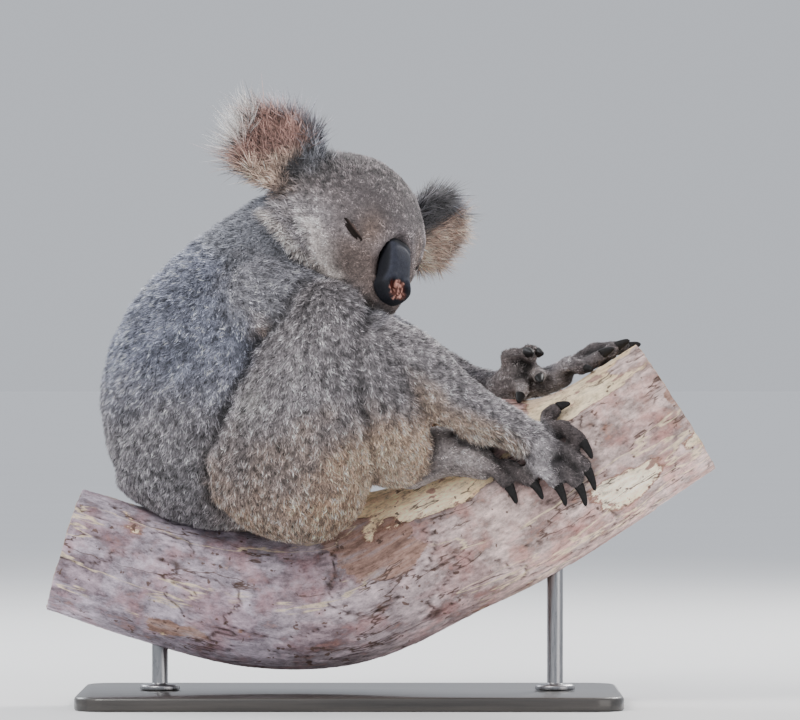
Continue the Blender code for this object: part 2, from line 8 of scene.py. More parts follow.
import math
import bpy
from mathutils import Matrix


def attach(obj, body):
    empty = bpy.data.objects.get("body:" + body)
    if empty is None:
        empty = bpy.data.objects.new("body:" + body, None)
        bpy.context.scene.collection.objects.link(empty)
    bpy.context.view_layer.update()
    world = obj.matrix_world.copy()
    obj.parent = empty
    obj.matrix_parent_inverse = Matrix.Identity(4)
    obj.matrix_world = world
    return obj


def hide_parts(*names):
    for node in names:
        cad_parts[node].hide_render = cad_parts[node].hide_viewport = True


bl_info = {
    "name": "Sleeping Koala",
    "version": (1, 0, 0),
    "blender": (4, 5, 0),
    "location": "View3D > Sidebar > Koala",
    "description": "Dresses a koala's solids with skin, coat, claws, bark and a stand",
    "category": "Add Mesh",
}

import bpy
import numpy as np
from bpy.props import FloatProperty, FloatVectorProperty, IntProperty, PointerProperty
from mathutils import Matrix, Vector
from mathutils.kdtree import KDTree

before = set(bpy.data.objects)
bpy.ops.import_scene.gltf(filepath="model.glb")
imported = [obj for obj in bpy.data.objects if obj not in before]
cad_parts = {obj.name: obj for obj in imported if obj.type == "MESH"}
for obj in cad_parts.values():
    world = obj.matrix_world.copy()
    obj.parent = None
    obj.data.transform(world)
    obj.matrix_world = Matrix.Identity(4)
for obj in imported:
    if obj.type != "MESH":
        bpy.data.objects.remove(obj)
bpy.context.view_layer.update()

# ------------------------------------------------------------ fixed places

SIDES = {"right": -1, "left": 1}
FLESH = (
    "trunk", "neck", "head", "ear_left", "ear_right",
    "arm_upper_left", "arm_upper_right", "forearm_left", "forearm_right",
    "hand_left", "hand_right", "thigh_left", "thigh_right",
    "shank_left", "shank_right", "foot_left", "foot_right",
)

# Head's own frame: x forward, y to its left, z up, from midway between the ears
HEAD_ORIGIN = Vector((0.012, 0.000, 0.519))
HEAD_LEFT = Vector((0.730, 0.570, -0.377)).normalized()
HEAD_UP = Vector((0.459, 0.000, 0.888))
HEAD_UP = (HEAD_UP - HEAD_LEFT * HEAD_UP.dot(HEAD_LEFT)).normalized()
HEAD_FORWARD = HEAD_LEFT.cross(HEAD_UP)
HEAD_TURN = Matrix((HEAD_FORWARD, HEAD_LEFT, HEAD_UP)).transposed()
NOSE_SPOT = (0.121, 0.000, -0.064)
LID_SPOT = (0.085, 0.041, -0.0455)
EAR_SPOT = (-0.005, 0.110, -0.007)
EAR_OUTWARD = math.radians(17)
NOSE_LEAN = math.radians(35)
NOSE_SQUARENESS = 3.5
LID_SLANT = math.radians(25)
LID_FACING = math.radians(47)
BARE_LID = (0.020, 0.0150, 0.0025)      # reach of the hairless skin of a lid
EAR_SHRINK = (0.55, 0.78, 0.80)         # leaves room for the ear's long fringe

# Middle line of the branch, with its radius at each point
BRANCH = (
    (-0.285, 0.000, 0.154, 0.063), (-0.194, 0.000, 0.127, 0.065),
    (-0.095, 0.000, 0.105, 0.068), (-0.001, 0.000, 0.111, 0.071),
    (0.082, 0.000, 0.153, 0.075), (0.158, 0.000, 0.191, 0.076),
    (0.235, 0.000, 0.240, 0.076), (0.325, 0.000, 0.298, 0.075),
)
RODS = ("stand_rod_rear", "stand_rod_front")

# Low humps of the branch under the knee and the far wrist: place, rise and
# reach along it; then their turn from the top and their width round it
HUMPS = ((0.024, 0.038, 0.036), (0.180, 0.042, 0.045))
HUMP_TURN = 0.20
HUMP_WIDTH = 0.50

# Way the hair lies on each part, from its root to its tip
HAIR_WAY = {
    "trunk": (-0.30, 0.00, -0.95), "neck": (-0.62, 0.00, -0.78),
    "head": (-0.50, 0.30, -0.50),
    "ear_left": (0.6, 0.6, -0.3), "ear_right": (-0.6, -0.6, 0.3),
    "arm_upper_left": (0.84, 0.24, -0.49), "arm_upper_right": (0.86, -0.28, -0.42),
    "forearm_left": (0.84, -0.53, -0.12), "forearm_right": (0.82, 0.25, -0.50),
    "hand_left": (0.86, -0.40, 0.30), "hand_right": (0.80, -0.05, -0.55),
    "thigh_left": (0.20, 0.10, -0.97), "thigh_right": (0.10, -0.10, -0.98),
    "shank_left": (0.80, -0.30, -0.40), "shank_right": (0.38, 0.25, -0.89),
    "foot_left": (0.35, -0.75, 0.40), "foot_right": (0.97, -0.12, -0.15),
}

# Per part: depth of the coat over the skin, length and width of a tuft,
# its lift off the skin at the root and at the tip, and how closely it stands
COAT_TABLE = {
    "trunk": (0.0044, 0.0074, 0.00125, 48, 24, 1.0),
    "neck": (0.0042, 0.0072, 0.00125, 48, 24, 1.0),
    "head": (0.0028, 0.0051, 0.00095, 46, 20, 1.9),
    "ear": (0.0015, 0.0165, 0.00100, 30, 14, 1.8),
    "arm_upper": (0.0040, 0.0068, 0.00118, 48, 22, 1.1),
    "forearm": (0.0033, 0.0060, 0.00108, 46, 20, 1.3),
    "hand": (0.0013, 0.0044, 0.00095, 30, 8, 2.2),
    "thigh": (0.0043, 0.0072, 0.00125, 48, 24, 1.0),
    "shank": (0.0038, 0.0066, 0.00118, 46, 22, 1.1),
    "foot": (0.0013, 0.0046, 0.00095, 30, 8, 2.2),
}

# ------------------------------------------------------------ small helpers


def deselect_all():
    """Leaves object mode with nothing selected."""
    if bpy.context.object is not None and bpy.context.object.mode != "OBJECT":
        bpy.ops.object.mode_set(mode="OBJECT")
    bpy.ops.object.select_all(action="DESELECT")


def make_active(piece):
    deselect_all()
    piece.select_set(True)
    bpy.context.view_layer.objects.active = piece


def shade_smooth(piece):
    make_active(piece)
    bpy.ops.object.shade_smooth()


def apply_modifier(piece, kind, **values):
    """Adds one modifier with these values and applies it."""
    make_active(piece)
    modifier = piece.modifiers.new(kind.title(), kind)
    for key, value in values.items():
        setattr(modifier, key, value)
    bpy.ops.object.modifier_apply(modifier=modifier.name)


def merge_doubles(piece, distance=0.00005):
    make_active(piece)
    bpy.ops.object.mode_set(mode="EDIT")
    bpy.ops.mesh.select_all(action="SELECT")
    bpy.ops.mesh.remove_doubles(threshold=distance)
    bpy.ops.mesh.normals_make_consistent(inside=False)
    bpy.ops.object.mode_set(mode="OBJECT")


def copy_of_solid(node, name):
    """A merged copy of a node's solid, as an object of its own."""
    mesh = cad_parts[node].data.copy()
    mesh.name = name
    piece = bpy.data.objects.new(name, mesh)
    bpy.context.scene.collection.objects.link(piece)
    mesh.materials.clear()
    merge_doubles(piece)
    return piece


def read_points(mesh):
    flat = np.empty(len(mesh.vertices) * 3, np.float32)
    mesh.vertices.foreach_get("co", flat)
    return flat.reshape(-1, 3).astype(np.float64)


def write_points(mesh, points):
    mesh.vertices.foreach_set("co", points.astype(np.float32).ravel())
    mesh.update()


def read_normals(mesh):
    flat = np.empty(len(mesh.vertices) * 3, np.float32)
    mesh.vertex_normals.foreach_get("vector", flat)
    return flat.reshape(-1, 3).astype(np.float64)


def read_edges(mesh):
    flat = np.empty(len(mesh.edges) * 2, np.int32)
    mesh.edges.foreach_get("vertices", flat)
    return flat.reshape(-1, 2)


def read_triangles(mesh):
    mesh.calc_loop_triangles()
    flat = np.empty(len(mesh.loop_triangles) * 3, np.int32)
    mesh.loop_triangles.foreach_get("vertices", flat)
    return flat.reshape(-1, 3)


def unit(vectors):
    length = np.linalg.norm(vectors, axis=-1, keepdims=True)
    return vectors / np.maximum(length, 1e-9)


def step_between(values, low, high):
    """0 below low, 1 above high and smooth between them."""
    share = np.clip((values - low) / (high - low), 0.0, 1.0)
    return share * share * (3.0 - 2.0 * share)


def blend(first, second, share):
    """Goes from the first colour or value to the second by the share."""
    first = np.asarray(first, float)
    second = np.asarray(second, float)
    share = np.asarray(share, float)
    if first.ndim and second.ndim and share.ndim:
        share = share[:, None]
    return first * (1.0 - share) + second * share


def spread(values, edges, rounds):
    """Averages each vertex's values with its neighbours'."""
    count = np.bincount(edges.ravel(), minlength=len(values))[:, None]
    values = values.copy()
    for _ in range(rounds):
        total = np.empty_like(values)
        for column in range(values.shape[1]):
            from_second = np.bincount(
                edges[:, 0], values[edges[:, 1], column], len(values))
            from_first = np.bincount(
                edges[:, 1], values[edges[:, 0], column], len(values))
            total[:, column] = from_second + from_first
        values = 0.5 * values + 0.5 * total / np.maximum(count, 1)
    return values


def lump_noise(points, waves, seed=1):
    """Smooth noise from about -1 to 1, with so many waves to the metre."""
    chance = np.random.default_rng(seed)
    table = chance.permutation(256)
    slopes = unit(chance.normal(size=(256, 3)))
    spot = points * waves
    cell = np.floor(spot).astype(np.int64)
    inner = spot - cell
    ease = inner ** 3 * (inner * (inner * 6.0 - 15.0) + 10.0)
    total = np.zeros(len(points))
    for corner in range(8):
        offset = np.array((corner & 1, corner >> 1 & 1, corner >> 2 & 1))
        key = np.zeros(len(points), np.int64)
        weight = np.ones(len(points))
        for axis in range(3):
            key = table[(key + cell[:, axis] + offset[axis]) & 255]
            side = ease[:, axis]
            weight = weight * (side if offset[axis] else 1.0 - side)
        total += weight * ((inner - offset) * slopes[key]).sum(1)
    return total * 1.6


def layered_noise(points, waves, layers, seed=1):
    total = np.zeros(len(points))
    for layer in range(layers):
        total += lump_noise(points, waves * 2.0 ** layer, seed + layer) * 0.5 ** layer
    return total


def in_head(points):
    """World points in the head's own frame."""
    turn = np.array(HEAD_TURN)
    return (points - np.array(HEAD_ORIGIN)) @ turn


def from_head(spot):
    """A point of the head's own frame in the world."""
    return HEAD_ORIGIN + HEAD_TURN @ Vector(spot)


def ear_matrix(side):
    """Place of an ear: x faces forward, y outward to the left, z up."""
    middle = from_head((EAR_SPOT[0], EAR_SPOT[1] * side, EAR_SPOT[2]))
    turn = HEAD_TURN.to_4x4() @ Matrix.Rotation(EAR_OUTWARD * side, 4, "Z")
    return Matrix.Translation(middle) @ turn


def in_place(points, matrix):
    """World points in the frame that a matrix places."""
    return (points - np.array(matrix.translation)) @ np.array(matrix.to_3x3())


def place_points(points, matrix):
    """Points of the frame that a matrix places, back in the world."""
    turn = np.array(matrix.to_3x3())
    return points @ turn.T + np.array(matrix.translation)


def mound(offsets, sizes):
    """1 in the middle of a place, fading out over its sizes."""
    return np.exp(-((offsets / sizes) ** 2).sum(1))


def smooth_row(rows, steps):
    """A smooth curve through rows of numbers, with steps between each two."""
    rows = [np.array(row, float) for row in rows]
    first = 2.0 * rows[0] - rows[1]
    last = 2.0 * rows[-1] - rows[-2]
    padded = [first, *rows, last]
    curve = []
    for index in range(1, len(padded) - 2):
        a, b, c, d = padded[index - 1:index + 3]
        for step in range(steps):
            t = step / steps
            curve.append(0.5 * (2.0 * b + (c - a) * t + (2.0 * a - 5.0 * b + 4.0 * c
                         - d) * t ** 2 + (3.0 * b - a - 3.0 * c + d) * t ** 3))
    curve.append(rows[-1])
    return np.array(curve)


def branch_clearance(points):
    """Height of each point over the bark, and the way straight out from it."""
    curve = smooth_row(BRANCH, 6)
    best = np.full(len(points), 1e9)
    outward = np.zeros((len(points), 3))
    for start, end in zip(curve[:-1], curve[1:]):
        along = end[:3] - start[:3]
        share = np.clip((points - start[:3]) @ along / (along @ along), 0.0, 1.0)
        middle = start[:3] + share[:, None] * along
        away = points - middle
        distance = np.linalg.norm(away, axis=1)
        height = distance - (start[3] + (end[3] - start[3]) * share)
        nearer = height < best
        best[nearer] = height[nearer]
        outward[nearer] = away[nearer] / np.maximum(distance[nearer, None], 1e-9)
    return best, outward


def finish_piece(piece, name, material, nodes=()):
    """Names a finished piece, gives it its material and ties it to the body."""
    piece.name = name
    piece.data.name = name
    piece.data.materials.clear()
    piece.data.materials.append(material)
    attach(piece, "root")
    if nodes:
        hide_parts(*nodes)
    return piece


def paint(mesh, name, colours):
    """Stores a colour for each vertex."""
    layer = mesh.attributes.new(name, "FLOAT_COLOR", "POINT")
    rows = np.ones((len(colours), 4), np.float32)
    rows[:, :3] = np.clip(colours, 0.0, 1.0)
    layer.data.foreach_set("color", rows.ravel())


# ------------------------------------------------------------ shader helpers


def new_group(name, inputs, outputs):
    """An empty shader node group with these sockets."""
    group = bpy.data.node_groups.new(name, "ShaderNodeTree")
    for label, kind, default in inputs:
        socket = group.interface.new_socket(label, in_out="INPUT", socket_type=kind)
        if default is not None:
            socket.default_value = default
    for label, kind in outputs:
        group.interface.new_socket(label, in_out="OUTPUT", socket_type=kind)
    entry = group.nodes.new("NodeGroupInput")
    leave = group.nodes.new("NodeGroupOutput")
    return group, entry, leave


def add_node(tree, kind, **values):
    node = tree.nodes.new(kind)
    for key, value in values.items():
        setattr(node, key, value)
    return node


def noise_node(tree, vector, scale, detail=4.0, rough=0.55, stretch=None):
    """A noise pattern on a vector, optionally stretched along its axes."""
    node = add_node(tree, "ShaderNodeTexNoise")
    if stretch is not None:
        mapping = add_node(tree, "ShaderNodeMapping")
        mapping.inputs["Scale"].default_value = stretch
        tree.links.new(vector, mapping.inputs["Vector"])
        vector = mapping.outputs["Vector"]
    tree.links.new(vector, node.inputs["Vector"])
    node.inputs["Scale"].default_value = scale
    node.inputs["Detail"].default_value = detail
    node.inputs["Roughness"].default_value = rough
    return node.outputs["Fac"]


def ramp_node(tree, factor, stops):
    """A colour ramp with stops of (position, grey or colour)."""
    node = add_node(tree, "ShaderNodeValToRGB")
    elements = node.color_ramp.elements
    while len(elements) < len(stops):
        elements.new(0.5)
    for element, (position, colour) in zip(elements, stops):
        element.position = position
        if isinstance(colour, (int, float)):
            colour = (colour, colour, colour)
        element.color = (*colour, 1.0)
    tree.links.new(factor, node.inputs["Fac"])
    return node.outputs["Color"]


def mix_node(tree, factor, first, second, mode="MIX"):
    """Mixes two colours; each may be a socket or a plain colour."""
    node = add_node(tree, "ShaderNodeMix", data_type="RGBA", blend_type=mode)
    for index, value in ((0, factor), (6, first), (7, second)):
        if hasattr(value, "is_output"):
            tree.links.new(value, node.inputs[index])
        elif index == 0:
            node.inputs[index].default_value = value
        else:
            node.inputs[index].default_value = (*value, 1.0)
    return node.outputs[2]


def math_node(tree, operation, first, second=0.5):
    node = add_node(tree, "ShaderNodeMath", operation=operation)
    for index, value in enumerate((first, second)):
        if hasattr(value, "is_output"):
            tree.links.new(value, node.inputs[index])
        else:
            node.inputs[index].default_value = value
    return node.outputs[0]


def new_material(name, rough=0.6, specular=0.5, coat=0.0):
    """A material with its Principled shader; returns it, its tree and shader."""
    material = bpy.data.materials.new(name)
    material.use_nodes = True
    shader = material.node_tree.nodes["Principled BSDF"]
    shader.inputs["Roughness"].default_value = rough
    shader.inputs["Specular IOR Level"].default_value = specular
    shader.inputs["Coat Weight"].default_value = coat
    return material, material.node_tree, shader


def object_vector(tree):
    return add_node(tree, "ShaderNodeTexCoord").outputs["Object"]


def use_group(tree, group, links=(), values=()):
    """Places a node group with its own values."""
    node = add_node(tree, "ShaderNodeGroup", node_tree=group)
    for label, socket in links:
        tree.links.new(socket, node.inputs[label])
    for label, value in values:
        node.inputs[label].default_value = value
    return node


def relief(tree, shader, height, strength, distance):
    """Bumps the surface by a height."""
    bump = add_node(tree, "ShaderNodeBump")
    bump.inputs["Strength"].default_value = strength
    bump.inputs["Distance"].default_value = distance
    tree.links.new(height, bump.inputs["Height"])
    tree.links.new(bump.outputs["Normal"], shader.inputs["Normal"])


def speckle_group():
    """Fine light and dark flecks laid over a colour, and their height."""
    found = bpy.data.node_groups.get("speckle")
    if found:
        return found
    group, entry, leave = new_group(
        "speckle",
        (("Vector", "NodeSocketVector", None), ("Color", "NodeSocketColor", None),
         ("Scale", "NodeSocketFloat", 300.0), ("Contrast", "NodeSocketFloat", 0.5)),
        (("Color", "NodeSocketColor"), ("Height", "NodeSocketFloat")))
    node = add_node(group, "ShaderNodeTexNoise")
    node.inputs["Detail"].default_value = 5.0
    node.inputs["Roughness"].default_value = 0.65
    group.links.new(entry.outputs["Vector"], node.inputs["Vector"])
    group.links.new(entry.outputs["Scale"], node.inputs["Scale"])
    flecks = ramp_node(
        group, node.outputs["Fac"], ((0.30, 0.25), (0.5, 0.95), (0.70, 1.7)))
    mixed = mix_node(group, 0.5, (1.0, 1.0, 1.0), flecks)
    group.links.new(entry.outputs["Contrast"], mixed.node.inputs[0])
    colour = mix_node(group, 1.0, entry.outputs["Color"], mixed, "MULTIPLY")
    group.links.new(colour, leave.inputs["Color"])
    group.links.new(node.outputs["Fac"], leave.inputs["Height"])
    return group


def flecked_colour(tree, shader, attribute, scale, contrast):
    """Gives the shader a stored colour with fine flecks; returns the flecks."""
    base = add_node(tree, "ShaderNodeAttribute", attribute_name=attribute)
    flecks = use_group(
        tree, speckle_group(),
        (("Vector", object_vector(tree)), ("Color", base.outputs["Color"])),
        (("Scale", scale), ("Contrast", contrast)))
    tree.links.new(flecks.outputs["Color"], shader.inputs["Base Color"])
    return flecks


# ------------------------------------------------------------ settings


class KoalaCoatSettings(bpy.types.PropertyGroup):
    """Sizes and colours of the coat."""
    tufts: IntProperty(
        name="Tufts", description="Number of tufts over the whole body",
        default=300000, min=1000)
    length_scale: FloatProperty(
        name="Length", description="Length of every tuft against its usual length",
        default=1.0, min=0.1, max=2.0)
    back_grey: FloatVectorProperty(
        name="Back", description="Colour of the back", subtype="COLOR",
        default=(0.37, 0.38, 0.435))
    limb_grey: FloatVectorProperty(
        name="Limbs", description="Colour of the legs, arms and face",
        subtype="COLOR", default=(0.39, 0.36, 0.375))
    cream: FloatVectorProperty(
        name="Cream", description="Colour of the belly and under the limbs",
        subtype="COLOR", default=(0.62, 0.45, 0.32))
    pale: FloatVectorProperty(
        name="Pale", description="Colour of the cheeks and ear fringes",
        subtype="COLOR", default=(0.80, 0.76, 0.74))
    ear_brown: FloatVectorProperty(
        name="Ear brown", description="Colour inside the ears",
        subtype="COLOR", default=(0.47, 0.285, 0.245))
    dark: FloatVectorProperty(
        name="Dark", description="Colour of the darkest hair",
        subtype="COLOR", default=(0.045, 0.043, 0.046))


class KoalaSkinSettings(bpy.types.PropertyGroup):
    """Fineness of the skin."""
    mesh_size: FloatProperty(
        name="Mesh size", description="Size of one face of the skin",
        default=0.0029, min=0.001, subtype="DISTANCE", unit="LENGTH")


class KoalaNoseSettings(bpy.types.PropertyGroup):
    """Colours of the nose and lids."""
    slate: FloatVectorProperty(
        name="Nose", description="Colour of the nose pad", subtype="COLOR",
        default=(0.026, 0.028, 0.040))
    pink: FloatVectorProperty(
        name="Nostril", description="Colour inside the nostrils", subtype="COLOR",
        default=(0.40, 0.175, 0.135))
    lid: FloatVectorProperty(
        name="Lids", description="Colour of the eyelids", subtype="COLOR",
        default=(0.115, 0.082, 0.072))


class KoalaClawSettings(bpy.types.PropertyGroup):
    """Colour of the claws."""
    horn: FloatVectorProperty(
        name="Horn", description="Colour of the claws", subtype="COLOR",
        default=(0.008, 0.0075, 0.0075))


class KoalaBranchSettings(bpy.types.PropertyGroup):
    """Relief and colours of the branch."""
    relief_depth: FloatProperty(
        name="Relief", description="Height of the bark's plates", default=0.0016,
        min=0.0, subtype="DISTANCE", unit="LENGTH")
    cream: FloatVectorProperty(
        name="New bark", description="Colour of fresh bark", subtype="COLOR",
        default=(0.60, 0.49, 0.34))
    lilac: FloatVectorProperty(
        name="Old bark", description="Colour of weathered bark", subtype="COLOR",
        default=(0.325, 0.270, 0.275))
    rust: FloatVectorProperty(
        name="Rust", description="Colour of the peeling edges", subtype="COLOR",
        default=(0.25, 0.155, 0.125))


class KoalaStandSettings(bpy.types.PropertyGroup):
    """Colours of the stand."""
    board: FloatVectorProperty(
        name="Board", description="Colour of the base board", subtype="COLOR",
        default=(0.030, 0.026, 0.023))
    steel: FloatVectorProperty(
        name="Rods", description="Colour of the rods", subtype="COLOR",
        default=(0.35, 0.35, 0.36))


class KoalaStageSettings(bpy.types.PropertyGroup):
    """Floor, lights and camera."""
    floor: FloatVectorProperty(
        name="Floor", description="Colour of the floor", subtype="COLOR",
        default=(0.72, 0.72, 0.72))
    key_power: FloatProperty(
        name="Key light", description="Power of the main light in watts",
        default=75.0, min=0.0)
    camera_distance: FloatProperty(
        name="Camera distance", description="Distance of the camera from the branch",
        default=6.0, min=1.0, subtype="DISTANCE", unit="LENGTH")
    camera_height: FloatProperty(
        name="Camera height", description="Height of the camera over the floor",
        default=0.344, min=0.0, subtype="DISTANCE", unit="LENGTH")


# ------------------------------------------------------------ skin

SAMPLE_GAP = 0.006          # between points sampled on the solids
JOINT_GROWTH = 0.0007       # closes the gaps between the flesh solids
# SKIN_DIM darkens the coat's colours on the skin: painted shade deep in the coat, where
# the skin shows between tufts.
SKIN_DIM = 0.55             # the skin's colour against the coat's
body = {}                   # what the skin hands on to the coat and the lids


def sample_solids():
    """Points all over the flesh solids, each with its node's number."""
    chance = np.random.default_rng(3)
    spots, labels = [], []
    for number, node in enumerate(FLESH):
        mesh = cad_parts[node].data
        points = read_points(mesh)
        triangles = points[read_triangles(mesh)]
        cross = np.cross(triangles[:, 1] - triangles[:, 0],
                         triangles[:, 2] - triangles[:, 0])
        area = np.linalg.norm(cross, axis=1)
        count = max(300, int(area.sum() / SAMPLE_GAP ** 2))
        picked = chance.choice(len(area), count, p=area / area.sum())
        share = np.sort(chance.random((count, 2)), axis=1)
        weights = np.stack((share[:, 0], share[:, 1] - share[:, 0], 1 - share[:, 1]), 1)
        spots.append((triangles[picked] * weights[:, :, None]).sum(1))
        labels.append(np.full(count, number))
    return np.concatenate(spots), np.concatenate(labels)


def part_weights(points, edges, rounds):
    """How much each vertex belongs to each flesh node."""
    spots, labels = sample_solids()
    tree = KDTree(len(spots))
    for index, spot in enumerate(spots):
        tree.insert(spot, index)
    tree.balance()
    weights = np.zeros((len(points), len(FLESH)))
    for row, point in enumerate(points):
        for _, index, distance in tree.find_n(point, 6):
            weights[row, labels[index]] += 1.0 / (
                distance * distance + SAMPLE_GAP ** 2)
    weights /= weights.sum(1, keepdims=True)
    return spread(weights, edges, rounds)


def coat_row(node):
    """The coat table's row for a node."""
    for part, row in COAT_TABLE.items():
        if node.startswith(part):
            return row
    raise ValueError("no coat is given for " + node)


def shrink_ear(piece, side):
    """Draws the ear's copy in by its fringe, keeping its root on the head."""
    place = ear_matrix(side)
    local = in_place(read_points(piece.data), place)
    root = np.array((-0.004, -0.040 * side, -0.012))
    local = root + (local - root) * EAR_SHRINK
    write_points(piece.data, place_points(local, place))


# Parts that stand out over their neighbours, and how strongly
RIDGES = {"thigh": 1.0, "head": 1.0, "forearm": 0.5, "arm_upper": 0.4, "shank": 0.4}


def part_edges(points, weights, edges):
    """Nearness to the raised edge of a part, and to the fold outside it."""
    wide = spread(weights, edges, 7)
    low_face = step_between(-in_head(points)[:, 2], 0.020, 0.050)
    ridge = np.zeros(len(points))
    fold = np.zeros(len(points))
    for number, node in enumerate(FLESH):
        strength = next((v for k, v in RIDGES.items() if node.startswith(k)), 0.0)
        if node == "head":
            strength = strength * low_face
        share = wide[:, number]
        ridge = np.maximum(ridge, strength * np.exp(-((share - 0.80) / 0.15) ** 2))
        fold = np.maximum(fold, strength * np.exp(-((share - 0.30) / 0.18) ** 2))
    return ridge, fold * (1.0 - 0.8 * ridge)


def furrows(points):
    """Shallow folds that run round the back, from about -1 to 1."""
    x, y, z = points.T
    along = 0.82 * x + 0.57 * z
    across = 0.82 * z - 0.57 * x
    return lump_noise(np.stack((along * 9.0, y * 9.0, across * 58.0), 1), 1.0, 88)


def keep_largest_shell(piece):
    """Deletes every loose shell but the largest."""
    mesh = piece.data
    edges = read_edges(mesh)
    label = np.arange(len(mesh.vertices))
    while True:
        low = np.minimum(label[edges[:, 0]], label[edges[:, 1]])
        before = label.copy()
        np.minimum.at(label, edges[:, 0], low)
        np.minimum.at(label, edges[:, 1], low)
        label = label[label]
        if np.array_equal(before, label):
            break
    shells, counts = np.unique(label, return_counts=True)
    if len(shells) == 1:
        return
    largest = shells[np.argmax(counts)]
    make_active(piece)
    bpy.ops.object.mode_set(mode="EDIT")
    bpy.ops.mesh.select_mode(type="VERT")
    bpy.ops.mesh.select_all(action="DESELECT")
    bpy.ops.object.mode_set(mode="OBJECT")
    mesh.vertices.foreach_set("select", label != largest)
    bpy.ops.object.mode_set(mode="EDIT")
    bpy.ops.mesh.delete(type="VERT")
    bpy.ops.object.mode_set(mode="OBJECT")


def smooth_by_part(mesh, weights, edges, rounds):
    """Relaxes the mesh, more on the body than on digits and face."""
    ease = {"hand": 0.25, "foot": 0.25, "ear": 0.5, "head": 0.6}
    share = np.zeros(len(weights))
    for number, node in enumerate(FLESH):
        amount = next((v for k, v in ease.items() if node.startswith(k)), 1.0)
        share += weights[:, number] * amount
    points = read_points(mesh)
    for _ in range(rounds):
        moved = spread(points, edges, 1)
        points += (moved - points) * share[:, None]
        moved = spread(points, edges, 1)
        points -= (moved - points) * share[:, None] * 0.52
    write_points(mesh, points)


def shape_face(points, normals):
    """Presses eye hollows, a mouth line and nose folds into the face."""
    local = in_head(points)
    push = np.zeros(len(points))
    for side in (-1, 1):
        lid = np.array((LID_SPOT[0], LID_SPOT[1] * side, LID_SPOT[2]))
        away = np.linalg.norm((local - lid) / (0.020, 0.019, 0.015), axis=1)
        push -= 0.0010 * np.exp(-away ** 2)
        brow = np.array((0.078, 0.037 * side, -0.024))
        away = np.linalg.norm((local - brow) / (0.020, 0.020, 0.011), axis=1)
        push += 0.0022 * np.exp(-away ** 2)
        cheek = np.array((0.080, 0.030 * side, -0.082))
        away = np.linalg.norm((local - cheek) / (0.026, 0.018, 0.016), axis=1)
        push += 0.0028 * np.exp(-away ** 2)
    front = step_between(local[:, 0], 0.085, 0.105)
    mouth_height = -0.100 - 0.20 * np.abs(local[:, 1])
    line = np.exp(-((local[:, 2] - mouth_height) / 0.0028) ** 2)
    push -= 0.0032 * line * front * (np.abs(local[:, 1]) < 0.034)
    return seat_nose(points + normals * push[:, None])


def fill_eye_pockets(points):
    """Closes the hollows behind the lids, and notes how the face runs there."""
    for name, side in SIDES.items():
        place = lid_matrix(side)
        local = in_place(points, place)
        radius = np.sqrt((local[:, 1] / 0.0165) ** 2 + (local[:, 2] / 0.0120) ** 2)
        near = np.abs(local[:, 0]) < 0.018
        ringed = near & (radius > 1.12) & (radius < 1.45)
        run = np.linalg.lstsq(eye_terms(local[ringed]), local[ringed, 0], rcond=None)[0]
        level = eye_terms(local) @ run + 0.0010 * (1.0 - radius ** 2)
        share = (1.0 - step_between(radius, 0.92, 1.12)) * near
        local[:, 0] += (level - local[:, 0]) * share
        points = place_points(local, place)
        body["eye_" + name] = run
    return points


def eye_terms(local):
    """Terms of the curved surface of the face round an eye."""
    return np.stack((np.ones(len(local)), local[:, 1], local[:, 2],
                     local[:, 1] ** 2, local[:, 2] ** 2), 1)


def seat_nose(points):
    """Sinks the skin behind the nose pad, so the pad's whole rim stands clear."""
    place = nose_matrix()
    local = in_place(points, place)
    width = nose_half_width(local)
    inside = np.sqrt((local[:, 1] / width) ** 2 + (local[:, 2] / 0.0345) ** 2)
    level = 0.0055 - 0.010 * step_between(inside, 0.3, 1.0)
    share = 1.0 - step_between(inside, 0.98, 1.22)
    sunk = np.minimum(local[:, 0], level)
    local[:, 0] += (sunk - local[:, 0]) * share * (local[:, 0] > -0.02)
    return place_points(local, place)


def nose_half_width(local):
    """Half the width of the nose pad's bed, wider lower down."""
    return 0.0150 + 0.0035 * step_between(-local[:, 2], 0.0, 0.020)


def joined_flesh():
    """Copies of the flesh solids as one object, grown so that they meet."""
    copies = []
    for node in FLESH:
        piece = copy_of_solid(node, "skin_" + node)
        if node.startswith("ear"):
            shrink_ear(piece, SIDES[node.split("_")[1]])
        copies.append(piece)
    for piece in copies:
        apply_modifier(piece, "DISPLACE", strength=JOINT_GROWTH, mid_level=0.0)
    deselect_all()
    for piece in copies:
        piece.select_set(True)
    bpy.context.view_layer.objects.active = copies[0]
    bpy.ops.object.join()
    return copies[0]


def even_mesh(skin, size):
    """Rebuilds the skin with faces of this size, as one shell."""
    apply_modifier(skin, "REMESH", mode="VOXEL", voxel_size=size)
    keep_largest_shell(skin)
    return skin.data, read_edges(skin.data)


def sink_by_coat(mesh, edges):
    """Draws the skin in by the coat's depth, and less where it meets the bark."""
    weights = part_weights(read_points(mesh), edges, 3)
    smooth_by_part(mesh, weights, edges, 14)
    depths = np.array([coat_row(node)[0] for node in FLESH])
    height, _ = branch_clearance(read_points(mesh))
    pressed = step_between(height, 0.004, 0.030)
    depth = (weights @ depths) * (1.15 * pressed - 0.15)
    depth = spread(depth[:, None], edges, 4)
    for _ in range(3):
        normals = spread(read_normals(mesh), edges, 2)
        write_points(mesh, read_points(mesh) - unit(normals) * depth / 3.0)


